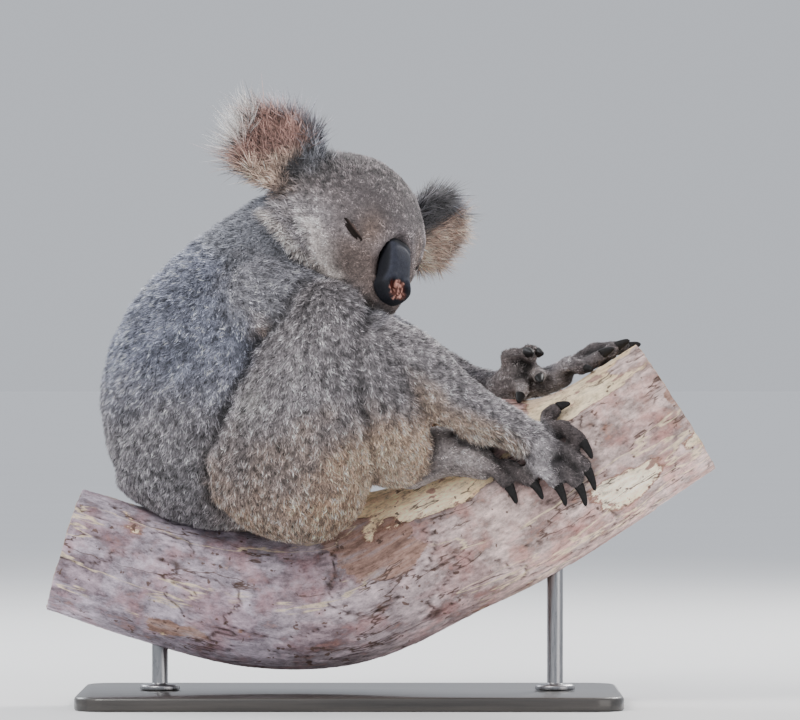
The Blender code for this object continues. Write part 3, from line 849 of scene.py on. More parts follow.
def form_shade(weights, edges, ridge, fold, wave, cheeked):
    """Painted shade in folds, hollows and between digits, painted light on what stands
    out.
    """
    points, normals = body["points"], body["normals"]
    hollow = ((spread(points, edges, 60) - points) * normals).sum(1)
    hollow = hollow * (1.0 - 0.8 * cheeked)
    paws = node_share(weights, "hand") + node_share(weights, "foot")
    shade = 1.0 - 0.50 * step_between(hollow, 0.0002, 0.0028) * (1.0 - 0.6 * paws)
    shade = shade * (1.0 - 0.55 * paws * step_between(hollow, 0.0003, 0.0022))
    shade = shade * (1.0 + 0.30 * paws * step_between(-hollow, 0.0003, 0.0015))
    shade += 0.20 * step_between(-hollow, 0.0004, 0.0030)
    # Painted light on the raised edges of parts, painted shade in the folds outside
    # them, and both over the back's furrows.
    shade *= 1.0 + 0.62 * ridge - 0.58 * fold + 0.26 * wave
    # Painted shade in the narrow gaps between the digits.
    gap = ((spread(points, edges, 9) - points) * normals).sum(1)
    shade *= 1.0 - 0.75 * paws * step_between(gap, 0.00006, 0.00060)
    return spread(shade[:, None], edges, 2)


class KOALA_OT_skin(bpy.types.Operator):
    """Grow one skin over the whole body, inside the solids"""
    bl_idname = "koala.skin"
    bl_label = "Skin"

    def execute(self, context):
        size = context.scene.koala_skin.mesh_size
        skin = joined_flesh()
        mesh, edges = even_mesh(skin, size * 1.15)
        sink_by_coat(mesh, edges)
        mesh, edges = even_mesh(skin, size)
        weights = part_weights(read_points(mesh), edges, 4)
        smooth_by_part(mesh, weights, edges, 5)
        points = read_points(mesh)
        ridge, fold = part_edges(points, weights, edges)
        wave = furrows(points) * node_share(weights, "trunk")
        cheeked = jaw_zone(points, weights)
        fold = fold * (1.0 - 0.9 * cheeked)
        push = 0.0010 * ridge - 0.0024 * fold + 0.0009 * wave + 0.0035 * cheeked
        paws = node_share(weights, "hand") + node_share(weights, "foot")
        sharper = (points - spread(points, edges, 8)) * paws[:, None]
        points += read_normals(mesh) * push[:, None] + sharper
        write_points(mesh, points)
        write_points(mesh, shape_face(points, read_normals(mesh)))
        write_points(mesh, fill_eye_pockets(read_points(mesh)))
        shade_smooth(skin)
        bpy.ops.object.mode_set(mode="EDIT")
        bpy.ops.mesh.select_all(action="SELECT")
        bpy.ops.uv.smart_project(angle_limit=math.radians(66), island_margin=0.002)
        bpy.ops.object.mode_set(mode="OBJECT")
        mesh.uv_layers[0].name = "skin_unwrap"
        body["weights"] = weights
        body["points"] = read_points(mesh)
        body["normals"] = read_normals(mesh)
        body["edges"] = edges
        # The coat's colours take on this painted shade and light.
        shade = form_shade(weights, edges, ridge, fold, wave, cheeked)
        colours = coat_colours(body["points"], body["normals"], weights)
        body["colours"] = colours * shade
        body["triangles"] = read_triangles(mesh)
        body["unwrap"] = triangle_unwrap(mesh)
        paint(mesh, "coat_colour", body["colours"] * SKIN_DIM)
        finish_piece(skin, "skin", skin_material(), FLESH)
        return {"FINISHED"}


def triangle_unwrap(mesh):
    """The unwrap's place of each triangle's three corners."""
    loops = np.empty(len(mesh.loop_triangles) * 3, np.int32)
    mesh.loop_triangles.foreach_get("loops", loops)
    flat = np.empty(len(mesh.loops) * 2, np.float32)
    mesh.uv_layers[0].data.foreach_get("uv", flat)
    return flat.reshape(-1, 2)[loops].reshape(-1, 3, 2)


def node_share(weights, start):
    """How much each vertex belongs to the nodes whose names start so."""
    chosen = [i for i, node in enumerate(FLESH) if node.startswith(start)]
    return weights[:, chosen].sum(1)


def coat_colours(points, normals, weights):
    """The coat's markings at each point of the body."""
    wave = layered_noise(points, 26.0, 3, 11)
    colour = body_markings(points, normals, weights, wave)
    colour = face_markings(colour, points, weights, wave)
    colour = ear_markings(colour, points, normals, weights, wave)
    colour = spot_markings(colour, points, weights, wave)
    colour = paw_markings(colour, points, weights)
    # Paler furrows on the back and flank
    patch = layered_noise(points, 14.0, 2, 21)
    colour = colour * (1.0 + 0.22 * patch + 0.10 * wave)[:, None]
    return np.clip(colour, 0.0, 1.0)


def coat_palette():
    """The coat's colours: back, limbs, cream, pale, ear brown and dark."""
    palette = bpy.context.scene.koala_coat
    return [np.array(getattr(palette, name)) for name in (
        "back_grey", "limb_grey", "cream", "pale", "ear_brown", "dark")]


def body_markings(points, normals, weights, wave):
    """Grey back and limbs, with cream on the belly, inner limbs and low thigh."""
    back, limb, cream, pale, _, _ = coat_palette()
    x, _, z = points.T
    limbs = sum(node_share(weights, k) for k in
                ("thigh", "shank", "forearm", "hand", "foot", "head"))
    limbs += 0.4 * node_share(weights, "arm_upper")
    rump = step_between(-z + 0.02 * wave, -0.360, -0.270) * 0.8
    limbs += rump * node_share(weights, "trunk")
    colour = blend(back, limb, np.clip(limbs, 0, 1))
    # Belly, inner limbs and the low thigh are cream
    under = step_between(-normals[:, 2] + 0.15 * wave, 0.05, 0.75)
    low = step_between(-z + 0.02 * wave, -0.310, -0.225)
    front = step_between(x + 0.02 * wave, -0.10, 0.02)
    trunk = node_share(weights, "trunk")
    belly = trunk * np.clip(front + under * 0.7 * step_between(x, -0.16, -0.06), 0, 1)
    legs = node_share(weights, "thigh") + node_share(weights, "shank")
    arms = node_share(weights, "forearm") + node_share(weights, "arm_upper")
    forward = step_between(x + 0.02 * wave, -0.08, 0.03)
    share = belly + legs * np.clip(low * (0.30 + 0.5 * forward) + 0.5 * under, 0, 1)
    share += arms * np.clip(under * 0.9 * step_between(-x, -0.190, -0.150), 0, 1)
    share += 0.45 * node_share(weights, "shank") * step_between(x, 0.05, 0.08)
    colour = blend(colour, cream * (1.0, 0.93, 0.92), np.clip(share, 0, 0.95))
    colour = colour * (1.0 + np.outer(trunk * step_between(z, 0.26, 0.36),
                                      (0.02, 0.05, 0.16)))
    warm = np.exp(-((x - 0.034) / 0.034) ** 2 - ((z - 0.238) / 0.034) ** 2 + 0.5 * wave)
    colour = blend(colour, (0.76, 0.565, 0.425), np.clip(legs * warm * 1.2, 0, 0.95))
    ankle = node_share(weights, "shank_right") * step_between(x, 0.045, 0.075)
    colour = colour * (1.0 + 0.35 * ankle)[:, None]
    pale_arm = arms * under * step_between(x, 0.02, 0.06)
    colour = blend(colour, pale * (0.80, 0.74, 0.68), 0.35 * np.clip(pale_arm, 0, 1))
    return colour


def face_markings(colour, points, weights, wave):
    """Brown face and muzzle, pale cheek and jaw with painted rim light along the jaw's
    edge, painted shade on the neck under the jaw, dark at the ears' roots.
    """
    back, limb, _, pale, _, dark = coat_palette()
    head = node_share(weights, "head")
    f, l, u = in_head(points).T
    side = np.abs(l)
    face = limb * (0.56, 0.52, 0.51)
    crown = step_between(u + 0.3 * f, -0.030, 0.020)
    colour = blend(colour, face * (1.0 - 0.22 * crown)[:, None], head * 0.97)
    nape = step_between(-f + 0.01 * wave, 0.005, 0.045)
    colour = blend(colour, blend(back, limb, 0.4) * 0.85, head * nape * 0.85)
    cheek = step_between(side + 0.01 * wave, 0.034, 0.066)
    cheek = cheek * step_between(-u + 0.3 * (side - 0.06) + 0.008 * wave, 0.020, 0.055)
    cheek = cheek * step_between(-f, -0.085, -0.040)
    colour = blend(colour, limb * 0.95, head * cheek * 0.9)
    jaw = step_between(-u + 0.45 * side + 0.006 * wave, 0.080, 0.108)
    jaw = jaw * step_between(-f, -0.105, -0.075)
    colour = blend(colour, pale * (0.95, 0.90, 0.88), head * jaw * 0.75)
    brow = np.exp(-(((f - 0.092) / 0.020) ** 2 + ((side - 0.030) / 0.012) ** 2
                    + ((u + 0.040) / 0.020) ** 2))
    colour = blend(colour, (0.225, 0.158, 0.130), head * brow * 0.85)
    for sign in SIDES.values():
        local = in_place(points, lid_matrix(sign))
        span = np.exp(-(local[:, 1] / 0.015) ** 2 - (local[:, 0] / 0.015) ** 2)
        over = span * np.exp(-((local[:, 2] - 0.0050) / 0.0035) ** 2)
        under_eye = span * np.exp(-((local[:, 2] + 0.0065) / 0.0028) ** 2)
        colour = colour * (1.0 - 0.42 * over * head)[:, None]
        colour = blend(colour, limb * (1.05, 0.98, 0.95), under_eye * head * 0.7)
    muzzle = step_between(f, 0.068, 0.095) * step_between(-u, 0.045, 0.065)
    colour = blend(colour, (0.170, 0.128, 0.115), head * muzzle * 0.85)
    chin = step_between(-u, 0.097, 0.105) * step_between(f, 0.06, 0.09)
    colour = blend(colour, (0.66, 0.54, 0.47), head * chin * 0.9)
    over_jaw = u + 0.096 - 12.0 * np.clip(side - 0.050, 0.0, None) ** 2
    cheeked = jaw_zone(points, weights)
    colour = blend(colour, limb * 1.55, cheeked * 0.9)
    # Pale line along the jaw: the ruff's pale fur, made paler still as painted rim
    # light.
    edge = np.exp(-((over_jaw - 0.002) / 0.006) ** 2) * step_between(side, 0.020, 0.035)
    edge = edge * step_between(f, -0.010, 0.010) * step_between(-f, -0.105, -0.085)
    edge = edge * np.clip(head + node_share(weights, "neck"), 0, 1)
    colour = blend(colour, pale * (1.25, 1.18, 1.15), np.clip(1.2 * edge, 0, 0.95))
    # Painted shade on the neck under the jaw.
    under_jaw = np.exp(-((over_jaw + 0.014) / 0.008) ** 2) * step_between(f, 0.0, 0.02)
    colour = colour * (1.0 - 0.40 * under_jaw * node_share(weights, "neck"))[:, None]
    root = np.exp(-((side - 0.068) / 0.022) ** 2) * step_between(u, -0.030, 0.0)
    root = root * step_between(-f, -0.055, -0.02)
    colour = blend(colour, dark * 2.0, head * np.clip(root * 0.85, 0, 1))
    return colour


def ear_markings(colour, points, normals, weights, wave):
    """Brown dish with tan below it, a dark inner top and a pale rim."""
    back, limb, cream, pale, brown, dark = coat_palette()
    for name, sign in SIDES.items():
        ear = node_share(weights, "ear_" + name)
        place = ear_matrix(sign)
        local = in_place(points, place)
        outward = local[:, 1] * sign
        facing = normals @ np.array(place.to_3x3())[:, 0]
        rim = np.sqrt((local[:, 1] / 0.046) ** 2 + (local[:, 2] / 0.040) ** 2)
        tan = blend(limb, cream, 0.45 + 0.15 * (sign > 0)) * (1.9, 1.72, 1.60)
        dish = blend(tan, brown, step_between(
            local[:, 2] + 0.70 * outward + 0.006 * wave, -0.032, -0.014)
            * (0.40 if sign > 0 else 1.0))
        inner = step_between(-outward - 0.4 * local[:, 2] + 0.004 * wave, 0.014, 0.032)
        inner = inner * step_between(local[:, 2], -0.034, -0.014)
        if sign > 0:
            inner = step_between(
                -outward + 0.8 * local[:, 2] + 0.006 * wave, 0.004, 0.020)
        dish = blend(dish, dark * 2.0, inner)
        outer = blend(back * 0.75, dark * 2.5, step_between(local[:, 2], -0.01, 0.02))
        tone = blend(outer, dish, step_between(facing, -0.15, 0.25))
        tone = blend(tone, pale, 0.9 * step_between(
            outward + 0.004 * wave, 0.021, 0.034))
        inside = dark * 2.2 if sign > 0 else back * 0.65
        edging = blend(inside, back * 1.3, step_between(outward, -0.018, 0.002))
        tone = blend(tone, edging, 0.9 * step_between(rim, 0.66, 0.88)
                     * step_between(local[:, 2] - 0.4 * outward, 0.004, 0.018))
        colour = blend(colour, tone, ear)
    return colour


def spot_markings(colour, points, weights, wave):
    """A pale spot over each hip, a dark streak down each thigh, darker knees, loin and
    neck.
    """
    _, _, _, pale, _, dark = coat_palette()
    thighs = node_share(weights, "thigh")
    mirrored = points.copy()
    mirrored[:, 1] = np.abs(points[:, 1])
    hips = (mirrored - (-0.098, 0.150, 0.303)) / (0.013, 0.060, 0.020)
    pale_spot = np.exp(-(hips ** 2).sum(1) + 0.5 * wave)
    colour = blend(colour, pale * 0.95, np.clip(pale_spot, 0, 1) * 0.6)
    streak = mound(mirrored - (0.002, 0.155, 0.322), (0.016, 0.060, 0.034))
    streak = streak * step_between(lump_noise(points, 150.0, 23), -0.25, 0.25)
    colour = blend(colour, dark * 2.2, np.clip(streak * thighs, 0, 1) * 0.75)
    knees = mound(mirrored - (-0.030, 0.130, 0.400), (0.045, 0.070, 0.030))
    colour = colour * (1.0 - 0.42 * knees * thighs)[:, None]
    loin = mound(points[:, [0, 2]] - (-0.145, 0.370), (0.040, 0.045))
    colour = colour * (1.0 - 0.22 * loin * node_share(weights, "trunk"))[:, None]
    return colour * (1.0 - 0.18 * node_share(weights, "neck"))[:, None]


def paw_markings(colour, points, weights):
    """Hands and feet that darken towards their digits."""
    _, limb, cream, _, _, dark = coat_palette()
    x, y, z = points.T
    feet = node_share(weights, "foot")
    near = step_between(-y, 0.0, 0.03)
    tips = step_between(x, 0.184, 0.216) * 0.90 * near * node_share(weights, "hand")
    above = step_between(z - 0.334 + 0.875 * (x - 0.13), 0.000, 0.010)
    tips += 0.8 * above * step_between(x, 0.165, 0.180) * node_share(
        weights, "hand_right")
    tips += step_between(x, 0.120, 0.150) * 0.95 * near * feet
    far = step_between(x, 0.208, 0.228) * node_share(weights, "hand_left")
    far += node_share(weights, "foot_left") * (
        0.08 + 0.8 * step_between(z, 0.342, 0.355))
    colour = blend(colour, blend(limb, cream, 0.25), feet * 0.6)
    return blend(colour, dark * (1.9, 1.65, 1.55), np.clip(tips + far * 0.85, 0, 1))


def jaw_zone(points, weights):
    """The part of the neck that the cheek's long hair covers."""
    f, l, u = in_head(points).T
    side = np.abs(l)
    over_jaw = u + 0.096 - 12.0 * np.clip(side - 0.050, 0.0, None) ** 2
    zone = step_between(over_jaw, -0.004, 0.005) * step_between(f, -0.005, 0.015)
    return node_share(weights, "neck") * zone * step_between(side, 0.035, 0.055)


def skin_material():
    material, tree, shader = new_material("koala_skin", rough=0.8, specular=0.2)
    flecks = flecked_colour(tree, shader, "coat_colour", 420.0, 0.8)
    relief(tree, shader, flecks.outputs["Height"], 0.8, 0.0015)
    return material


# ------------------------------------------------------------ coat


def hair_flow(points, normals, weights, edges):
    """The way the hair lies at each vertex, along the skin."""
    ways = np.array([unit(np.array(HAIR_WAY[node])) for node in FLESH])
    flow = weights @ ways
    head = node_share(weights, "head")[:, None]
    nose = np.array(from_head((0.125, 0.0, -0.050)))
    flow = flow * (1.0 - head) + unit(points - nose) * head
    for name, sign in SIDES.items():
        ear = node_share(weights, "ear_" + name)[:, None]
        root = np.array(ear_matrix(sign) @ Vector((0.0, -0.055 * sign, -0.030)))
        flow = flow * (1.0 - ear) + unit(points - root) * ear
    for _ in range(3):
        flow = flow - normals * (flow * normals).sum(1, keepdims=True)
        flow = spread(unit(flow), edges, 4)
    flow = flow - normals * (flow * normals).sum(1, keepdims=True)
    return unit(flow)


def coat_numbers(points, weights):
    """Length, width, lifts and closeness of the tufts at each vertex."""
    table = np.array([coat_row(node)[1:] for node in FLESH])
    length, width, lift, tip_lift, close = (weights @ table).T
    f, l, u = in_head(points).T
    head = node_share(weights, "head")
    face = step_between(f, 0.02, 0.08)
    length = length * (1.0 - head * face * 0.38)
    ruff = step_between(np.abs(l), 0.045, 0.070) * step_between(-u, 0.035, 0.060)
    ruff = ruff * step_between(-f, -0.070, -0.030) * head + jaw_zone(points, weights)
    length = length * (1.0 + 0.75 * ruff)
    root = np.exp(-((np.abs(l) - 0.060) / 0.018) ** 2) * step_between(u, -0.008, 0.010)
    root = root * step_between(-f, -0.050, -0.020) * head
    length = length * (1.0 + 2.6 * root)
    lift = lift + 14.0 * root
    tip_lift = tip_lift + 22.0 * root
    beneath = node_share(weights, "forearm_right") * step_between(
        points[:, 0], 0.10, 0.13)
    length = length * (1.0 + 0.8 * beneath * step_between(
        -points[:, 2], -0.285, -0.270))
    for name, sign in SIDES.items():
        ear = node_share(weights, "ear_" + name)
        local = in_place(points, ear_matrix(sign))
        rim = np.sqrt(((local[:, 1] + 0.008 * sign) / 0.046) ** 2
                      + ((local[:, 2] + 0.001) / 0.040) ** 2)
        outward = step_between(local[:, 1] * sign, -0.025, 0.012)
        outward = np.maximum(outward, step_between(local[:, 2], 0.010, 0.025))
        fringe = ear * step_between(rim, 0.68, 0.98) * outward
        long = 1.5 if sign < 0 else 0.35
        top = step_between(local[:, 2], 0.005, 0.025)
        length = length * (1.0 + long * fringe * step_between(
            local[:, 1] * sign, -0.010, 0.030) + (0.4 + 0.5 * top) * fringe)
        lift = blend(lift, 46.0, fringe)
        tip_lift = blend(tip_lift, 34.0, fringe)
    return np.stack((length, width, lift, tip_lift, close), 1)


def scatter(corners, density, count, seed):
    """Even random picks over the triangles: their numbers and weights."""
    chance = np.random.default_rng(seed)
    cross = np.cross(corners[:, 1] - corners[:, 0], corners[:, 2] - corners[:, 0])
    mass = np.linalg.norm(cross, axis=1) * density
    total = np.cumsum(mass)
    picks = (np.arange(count) + chance.random(count)) / count * total[-1]
    chosen = np.minimum(np.searchsorted(total, picks), len(mass) - 1)
    share = np.sort(chance.random((count, 2)), axis=1)
    weights = np.stack((share[:, 0], share[:, 1] - share[:, 0], 1.0 - share[:, 1]), 1)
    return chosen, weights


# A bent tuft: two rings of three corners and a tip, closed at its root
BENT_TUFT = ((0, 2, 1), (0, 1, 4), (0, 4, 3), (1, 2, 5), (1, 5, 4), (2, 0, 3),
             (2, 3, 5), (3, 4, 6), (4, 5, 6), (5, 3, 6))
BENT_UNWRAP = ((0.0, 0.0), (0.5, 0.0), (1.0, 0.0), (0.0, 0.6), (0.5, 0.6),
               (1.0, 0.6), (0.5, 1.0))
# A straight tuft: one ring and a tip
STRAIGHT_TUFT = ((0, 2, 1), (0, 1, 3), (1, 2, 3), (2, 0, 3))
STRAIGHT_UNWRAP = ((0.0, 0.0), (0.5, 0.2), (1.0, 0.0), (0.5, 1.0))
UNWRAP_PATCH = 0.003
ODD_TUFTS = 0.12            # share of the tufts that are dark, and as many pale
FLECK_STRENGTH = 2.2


def joined_tufts(name, corners, colours, roots_unwrap, faces, patch, material):
    """One mesh out of many equal tufts."""
    count, per_tuft = corners.shape[:2]
    faces = np.array(faces, np.int64)
    index = (faces[None] + np.arange(count)[:, None, None] * per_tuft).ravel()
    mesh = bpy.data.meshes.new(name)
    mesh.vertices.add(count * per_tuft)
    mesh.loops.add(len(index))
    mesh.polygons.add(len(index) // 3)
    mesh.vertices.foreach_set("co", corners.astype(np.float32).ravel())
    mesh.loops.foreach_set("vertex_index", index.astype(np.int32))
    mesh.polygons.foreach_set("loop_start", np.arange(0, len(index), 3, dtype=np.int32))
    mesh.update(calc_edges=True)
    mesh.shade_smooth()
    layer = mesh.uv_layers.new(name="OFBake")
    place = (np.array(patch)[faces] - 0.5) * UNWRAP_PATCH
    spots = np.clip(roots_unwrap, 0.002, 0.998)[:, None, None] + place[None]
    layer.data.foreach_set("uv", spots.astype(np.float32).ravel())
    paint(mesh, "coat_colour", colours.reshape(-1, 3))
    piece = bpy.data.objects.new(name, mesh)
    bpy.context.scene.collection.objects.link(piece)
    return finish_piece(piece, name, material)


def grow_tufts(count, seed, bent):
    """Corners, colours, unwrap and home node of a layer of tufts."""
    chance = np.random.default_rng(seed)
    points, normals = body["points"], body["normals"]
    triangles = body["triangles"]
    numbers = body["numbers"]
    chosen, share = scatter(
        points[triangles], numbers[triangles, 4].mean(1), count, seed)
    trio = triangles[chosen]

    def at_root(values):
        return (values[trio] * share[:, :, None]).sum(1)

    root = at_root(points)
    normal = unit(at_root(normals))
    flow = unit(at_root(body["flow"]))
    length, width, lift, tip_lift, _ = at_root(numbers).T
    colour = at_root(body["colours"])
    unwrap = (body["unwrap"][chosen] * share[:, :, None]).sum(1)
    home = at_root(body["weights"]).argmax(1)
    keep = root_allowed(root)
    root, normal, flow, colour, unwrap, home = (
        a[keep] for a in (root, normal, flow, colour, unwrap, home))
    length, width, lift, tip_lift = (
        a[keep] for a in (length, width, lift, tip_lift))
    count = len(root)
    # Locks: neighbours swing and stand alike
    swing = lump_noise(root, 55.0, 31) * 0.35 + lump_noise(root, 170.0, 32) * 0.95
    swing += chance.normal(0, 0.42, count)
    stand = lump_noise(root, 70.0, 33) * 9.0 + chance.normal(0, 5.0, count)
    length = length * np.clip(1.0 + 0.22 * lump_noise(root, 60.0, 34)
                              + chance.normal(0, 0.16, count), 0.45, 1.6)
    across = np.cross(normal, flow)
    way = flow * np.cos(swing)[:, None] + across * np.sin(swing)[:, None]
    across = np.cross(normal, way)
    lift = np.radians(np.clip(lift + stand, 6, 75))
    tip_lift = np.radians(np.clip(tip_lift + stand * 0.8, -6, 60))
    low = way * np.cos(lift)[:, None] + normal * np.sin(lift)[:, None]
    high = way * np.cos(tip_lift)[:, None] + normal * np.sin(tip_lift)[:, None]
    length = length[:, None]
    width = (width * np.clip(chance.normal(1.0, 0.2, count), 0.5, 1.6))[:, None]
    start = root - normal * 0.0012
    middle = start + low * length * 0.5
    tip = middle + high * length * 0.5
    tip = clear_of_branch(tip)
    middle = clear_of_branch(middle)
    up = np.cross(low, across)

    def ring(centre, size):
        return [centre + across * width * -0.5 * size - up * width * 0.15 * size,
                centre + across * width * 0.5 * size - up * width * 0.15 * size,
                centre + up * width * 0.30 * size]

    colour = colour * tuft_tones(chance, root)[:, None]
    # Each tuft runs from dark at the root to light at the tip: partly the hair's own
    # banding, partly painted shade deep in the coat.
    if bent:
        corner_list = ring(start, 1.0) + ring(middle, 0.8) + [tip]
        shades = ((start, 0.34, 3), (middle, 0.85, 3), (tip, 1.30, 1))
    else:
        corner_list = ring(start, 1.0) + [tip]
        shades = ((start, 0.38, 3), (tip, 1.25, 1))
    corners = np.stack(corner_list, 1)
    light = np.concatenate([
        np.repeat((grizzle(spots) * shade)[:, None], times, 1)
        for spots, shade, times in shades], 1)
    colours = np.clip(colour[:, None, :] * light[:, :, None], 0.0, 1.0)
    return corners, colours, unwrap, home, root


def tuft_tones(chance, root):
    """Lightness of each tuft: most alike, with some dark and some pale ones."""
    tone = np.exp(chance.normal(0, 0.18, len(root)))
    kind = chance.random(len(root))
    tone = np.where(kind < ODD_TUFTS, tone * 0.35, tone)
    near_face = step_between(-np.linalg.norm(in_head(root), axis=1), -0.13, -0.10)
    return np.where(kind > 1.0 - ODD_TUFTS, tone * (1.55 - 0.40 * near_face), tone)


def grizzle(points):
    """Light and dark flecks of the coat, the same for all hair over a place."""
    fleck = 1.1 * lump_noise(points, 140.0, 35) + 0.95 * lump_noise(points, 280.0, 36)
    fleck = np.where(fleck > 0.0, fleck * 0.6, fleck)
    local = in_head(points)
    side = np.abs(local[:, 1])
    distance = np.linalg.norm(local, axis=1)
    from_nose = np.linalg.norm(local - NOSE_SPOT, axis=1)
    near_nose = 1.0 - step_between(from_nose, 0.028, 0.048)
    on_ear = step_between(side, 0.078, 0.090) * step_between(-distance, -0.19, -0.16)
    on_face = step_between(-distance, -0.14, -0.11)
    jaw = np.exp(-((local[:, 2] + 0.085) / 0.025) ** 2) * on_face * step_between(
        side, 0.035, 0.055)
    knee = mound(points[:, [0, 2]] - (0.034, 0.225), (0.06, 0.05))
    strength = FLECK_STRENGTH * (1.0 + 0.30 * on_face)
    strength = strength * (1.0 - 0.40 * near_nose - 0.60 * on_ear)
    strength = strength * (1.0 - 0.45 * jaw) * (1.0 - 0.55 * knee)
    return np.clip(np.exp(strength * fleck - 0.13), 0.15, 2.6)


def root_allowed(root):
    """False where hair would grow inside the branch, on the nose or the lids."""
    height, _ = branch_clearance(root)
    local = in_place(root, nose_matrix())
    width = nose_half_width(local)
    nose = np.sqrt((local[:, 1] / width) ** 2 + (local[:, 2] / 0.0355) ** 2)
    free = (height > 0.0006) & ((nose > 1.0) | (local[:, 0] < -0.020))
    for side in SIDES.values():
        local = in_place(root, lid_matrix(side))
        free &= np.linalg.norm(local / BARE_LID, axis=1) > 1.0
    return free


def clear_of_branch(points):
    """Lifts points that would lie inside the bark onto it."""
    height, outward = branch_clearance(points)
    short = np.clip(0.0012 - height, 0.0, None)
    return points + outward * short[:, None]


def coat_material():
    material, tree, shader = new_material("koala_coat", rough=0.75, specular=0.12)
    flecked_colour(tree, shader, "coat_colour", 700.0, 0.45)
    shader.inputs["Sheen Weight"].default_value = 0.15
    shader.inputs["Sheen Roughness"].default_value = 0.5
    return material


COAT_GROUPS = {
    "trunk": ("trunk", "neck"),
    "head": ("head",),
    "ears": ("ear_left", "ear_right"),
    "arms": ("arm_upper_left", "arm_upper_right", "forearm_left", "forearm_right"),
    "legs": ("thigh_left", "thigh_right", "shank_left", "shank_right"),
    "paws": ("hand_left", "hand_right", "foot_left", "foot_right"),
}
MOST_TRIANGLES = 190000


class KOALA_OT_coat(bpy.types.Operator):
    """Grow the coat on the skin, as joined tufts"""
    bl_idname = "koala.coat"
    bl_label = "Coat"

    def execute(self, context):
        settings = context.scene.koala_coat
        if "points" not in body:
            raise RuntimeError("the skin comes before the coat")
        body["flow"] = hair_flow(
            body["points"], body["normals"], body["weights"], body["edges"])
        numbers = coat_numbers(body["points"], body["weights"])
        numbers[:, 0] *= settings.length_scale
        body["numbers"] = numbers
        material = coat_material()
        layers = (
            ("under", int(settings.tufts * 0.85), 41, False, STRAIGHT_TUFT,
             STRAIGHT_UNWRAP),
            ("over", int(settings.tufts * 0.14), 42, True, BENT_TUFT, BENT_UNWRAP),
        )
        for layer, count, seed, bent, faces, patch in layers:
            corners, colours, unwrap, home, root = grow_tufts(count, seed, bent)
            for group, nodes in COAT_GROUPS.items():
                wanted = [FLESH.index(node) for node in nodes]
                chosen = np.flatnonzero(np.isin(home, wanted))
                chosen = chosen[np.argsort(root[chosen, 2])]
                parts = math.ceil(len(chosen) * len(faces) / MOST_TRIANGLES)
                for number, share in enumerate(np.array_split(chosen, max(parts, 1))):
                    name = f"coat_{group}_{layer}_{number + 1}"
                    joined_tufts(name, corners[share], colours[share], unwrap[share],
                                 faces, patch, material)
        return {"FINISHED"}


# ------------------------------------------------------------ nose and lids


def nose_matrix():
    """Place of the nose: x out of its pad, y to its left, z up along it."""
    lean = Matrix.Rotation(-NOSE_LEAN, 4, "Y")
    return (Matrix.Translation(from_head(NOSE_SPOT)) @ HEAD_TURN.to_4x4()) @ lean


def lid_matrix(side):
    """Place of a closed eye: x outward, y along the slit, z up across it."""
    middle = from_head((LID_SPOT[0], LID_SPOT[1] * side, LID_SPOT[2]))
    facing = Matrix.Rotation(LID_FACING * side, 4, "Z")
    slant = Matrix.Rotation(LID_SLANT * side, 4, "X")
    return Matrix.Translation(middle) @ HEAD_TURN.to_4x4() @ facing @ slant


def round_ball(name, segments, rings):
    """A unit ball at the origin, to be shaped."""
    deselect_all()
    bpy.ops.mesh.primitive_uv_sphere_add(
        segments=segments, ring_count=rings, radius=1.0, location=(0, 0, 0))
    piece = bpy.context.object
    piece.name = name
    return piece


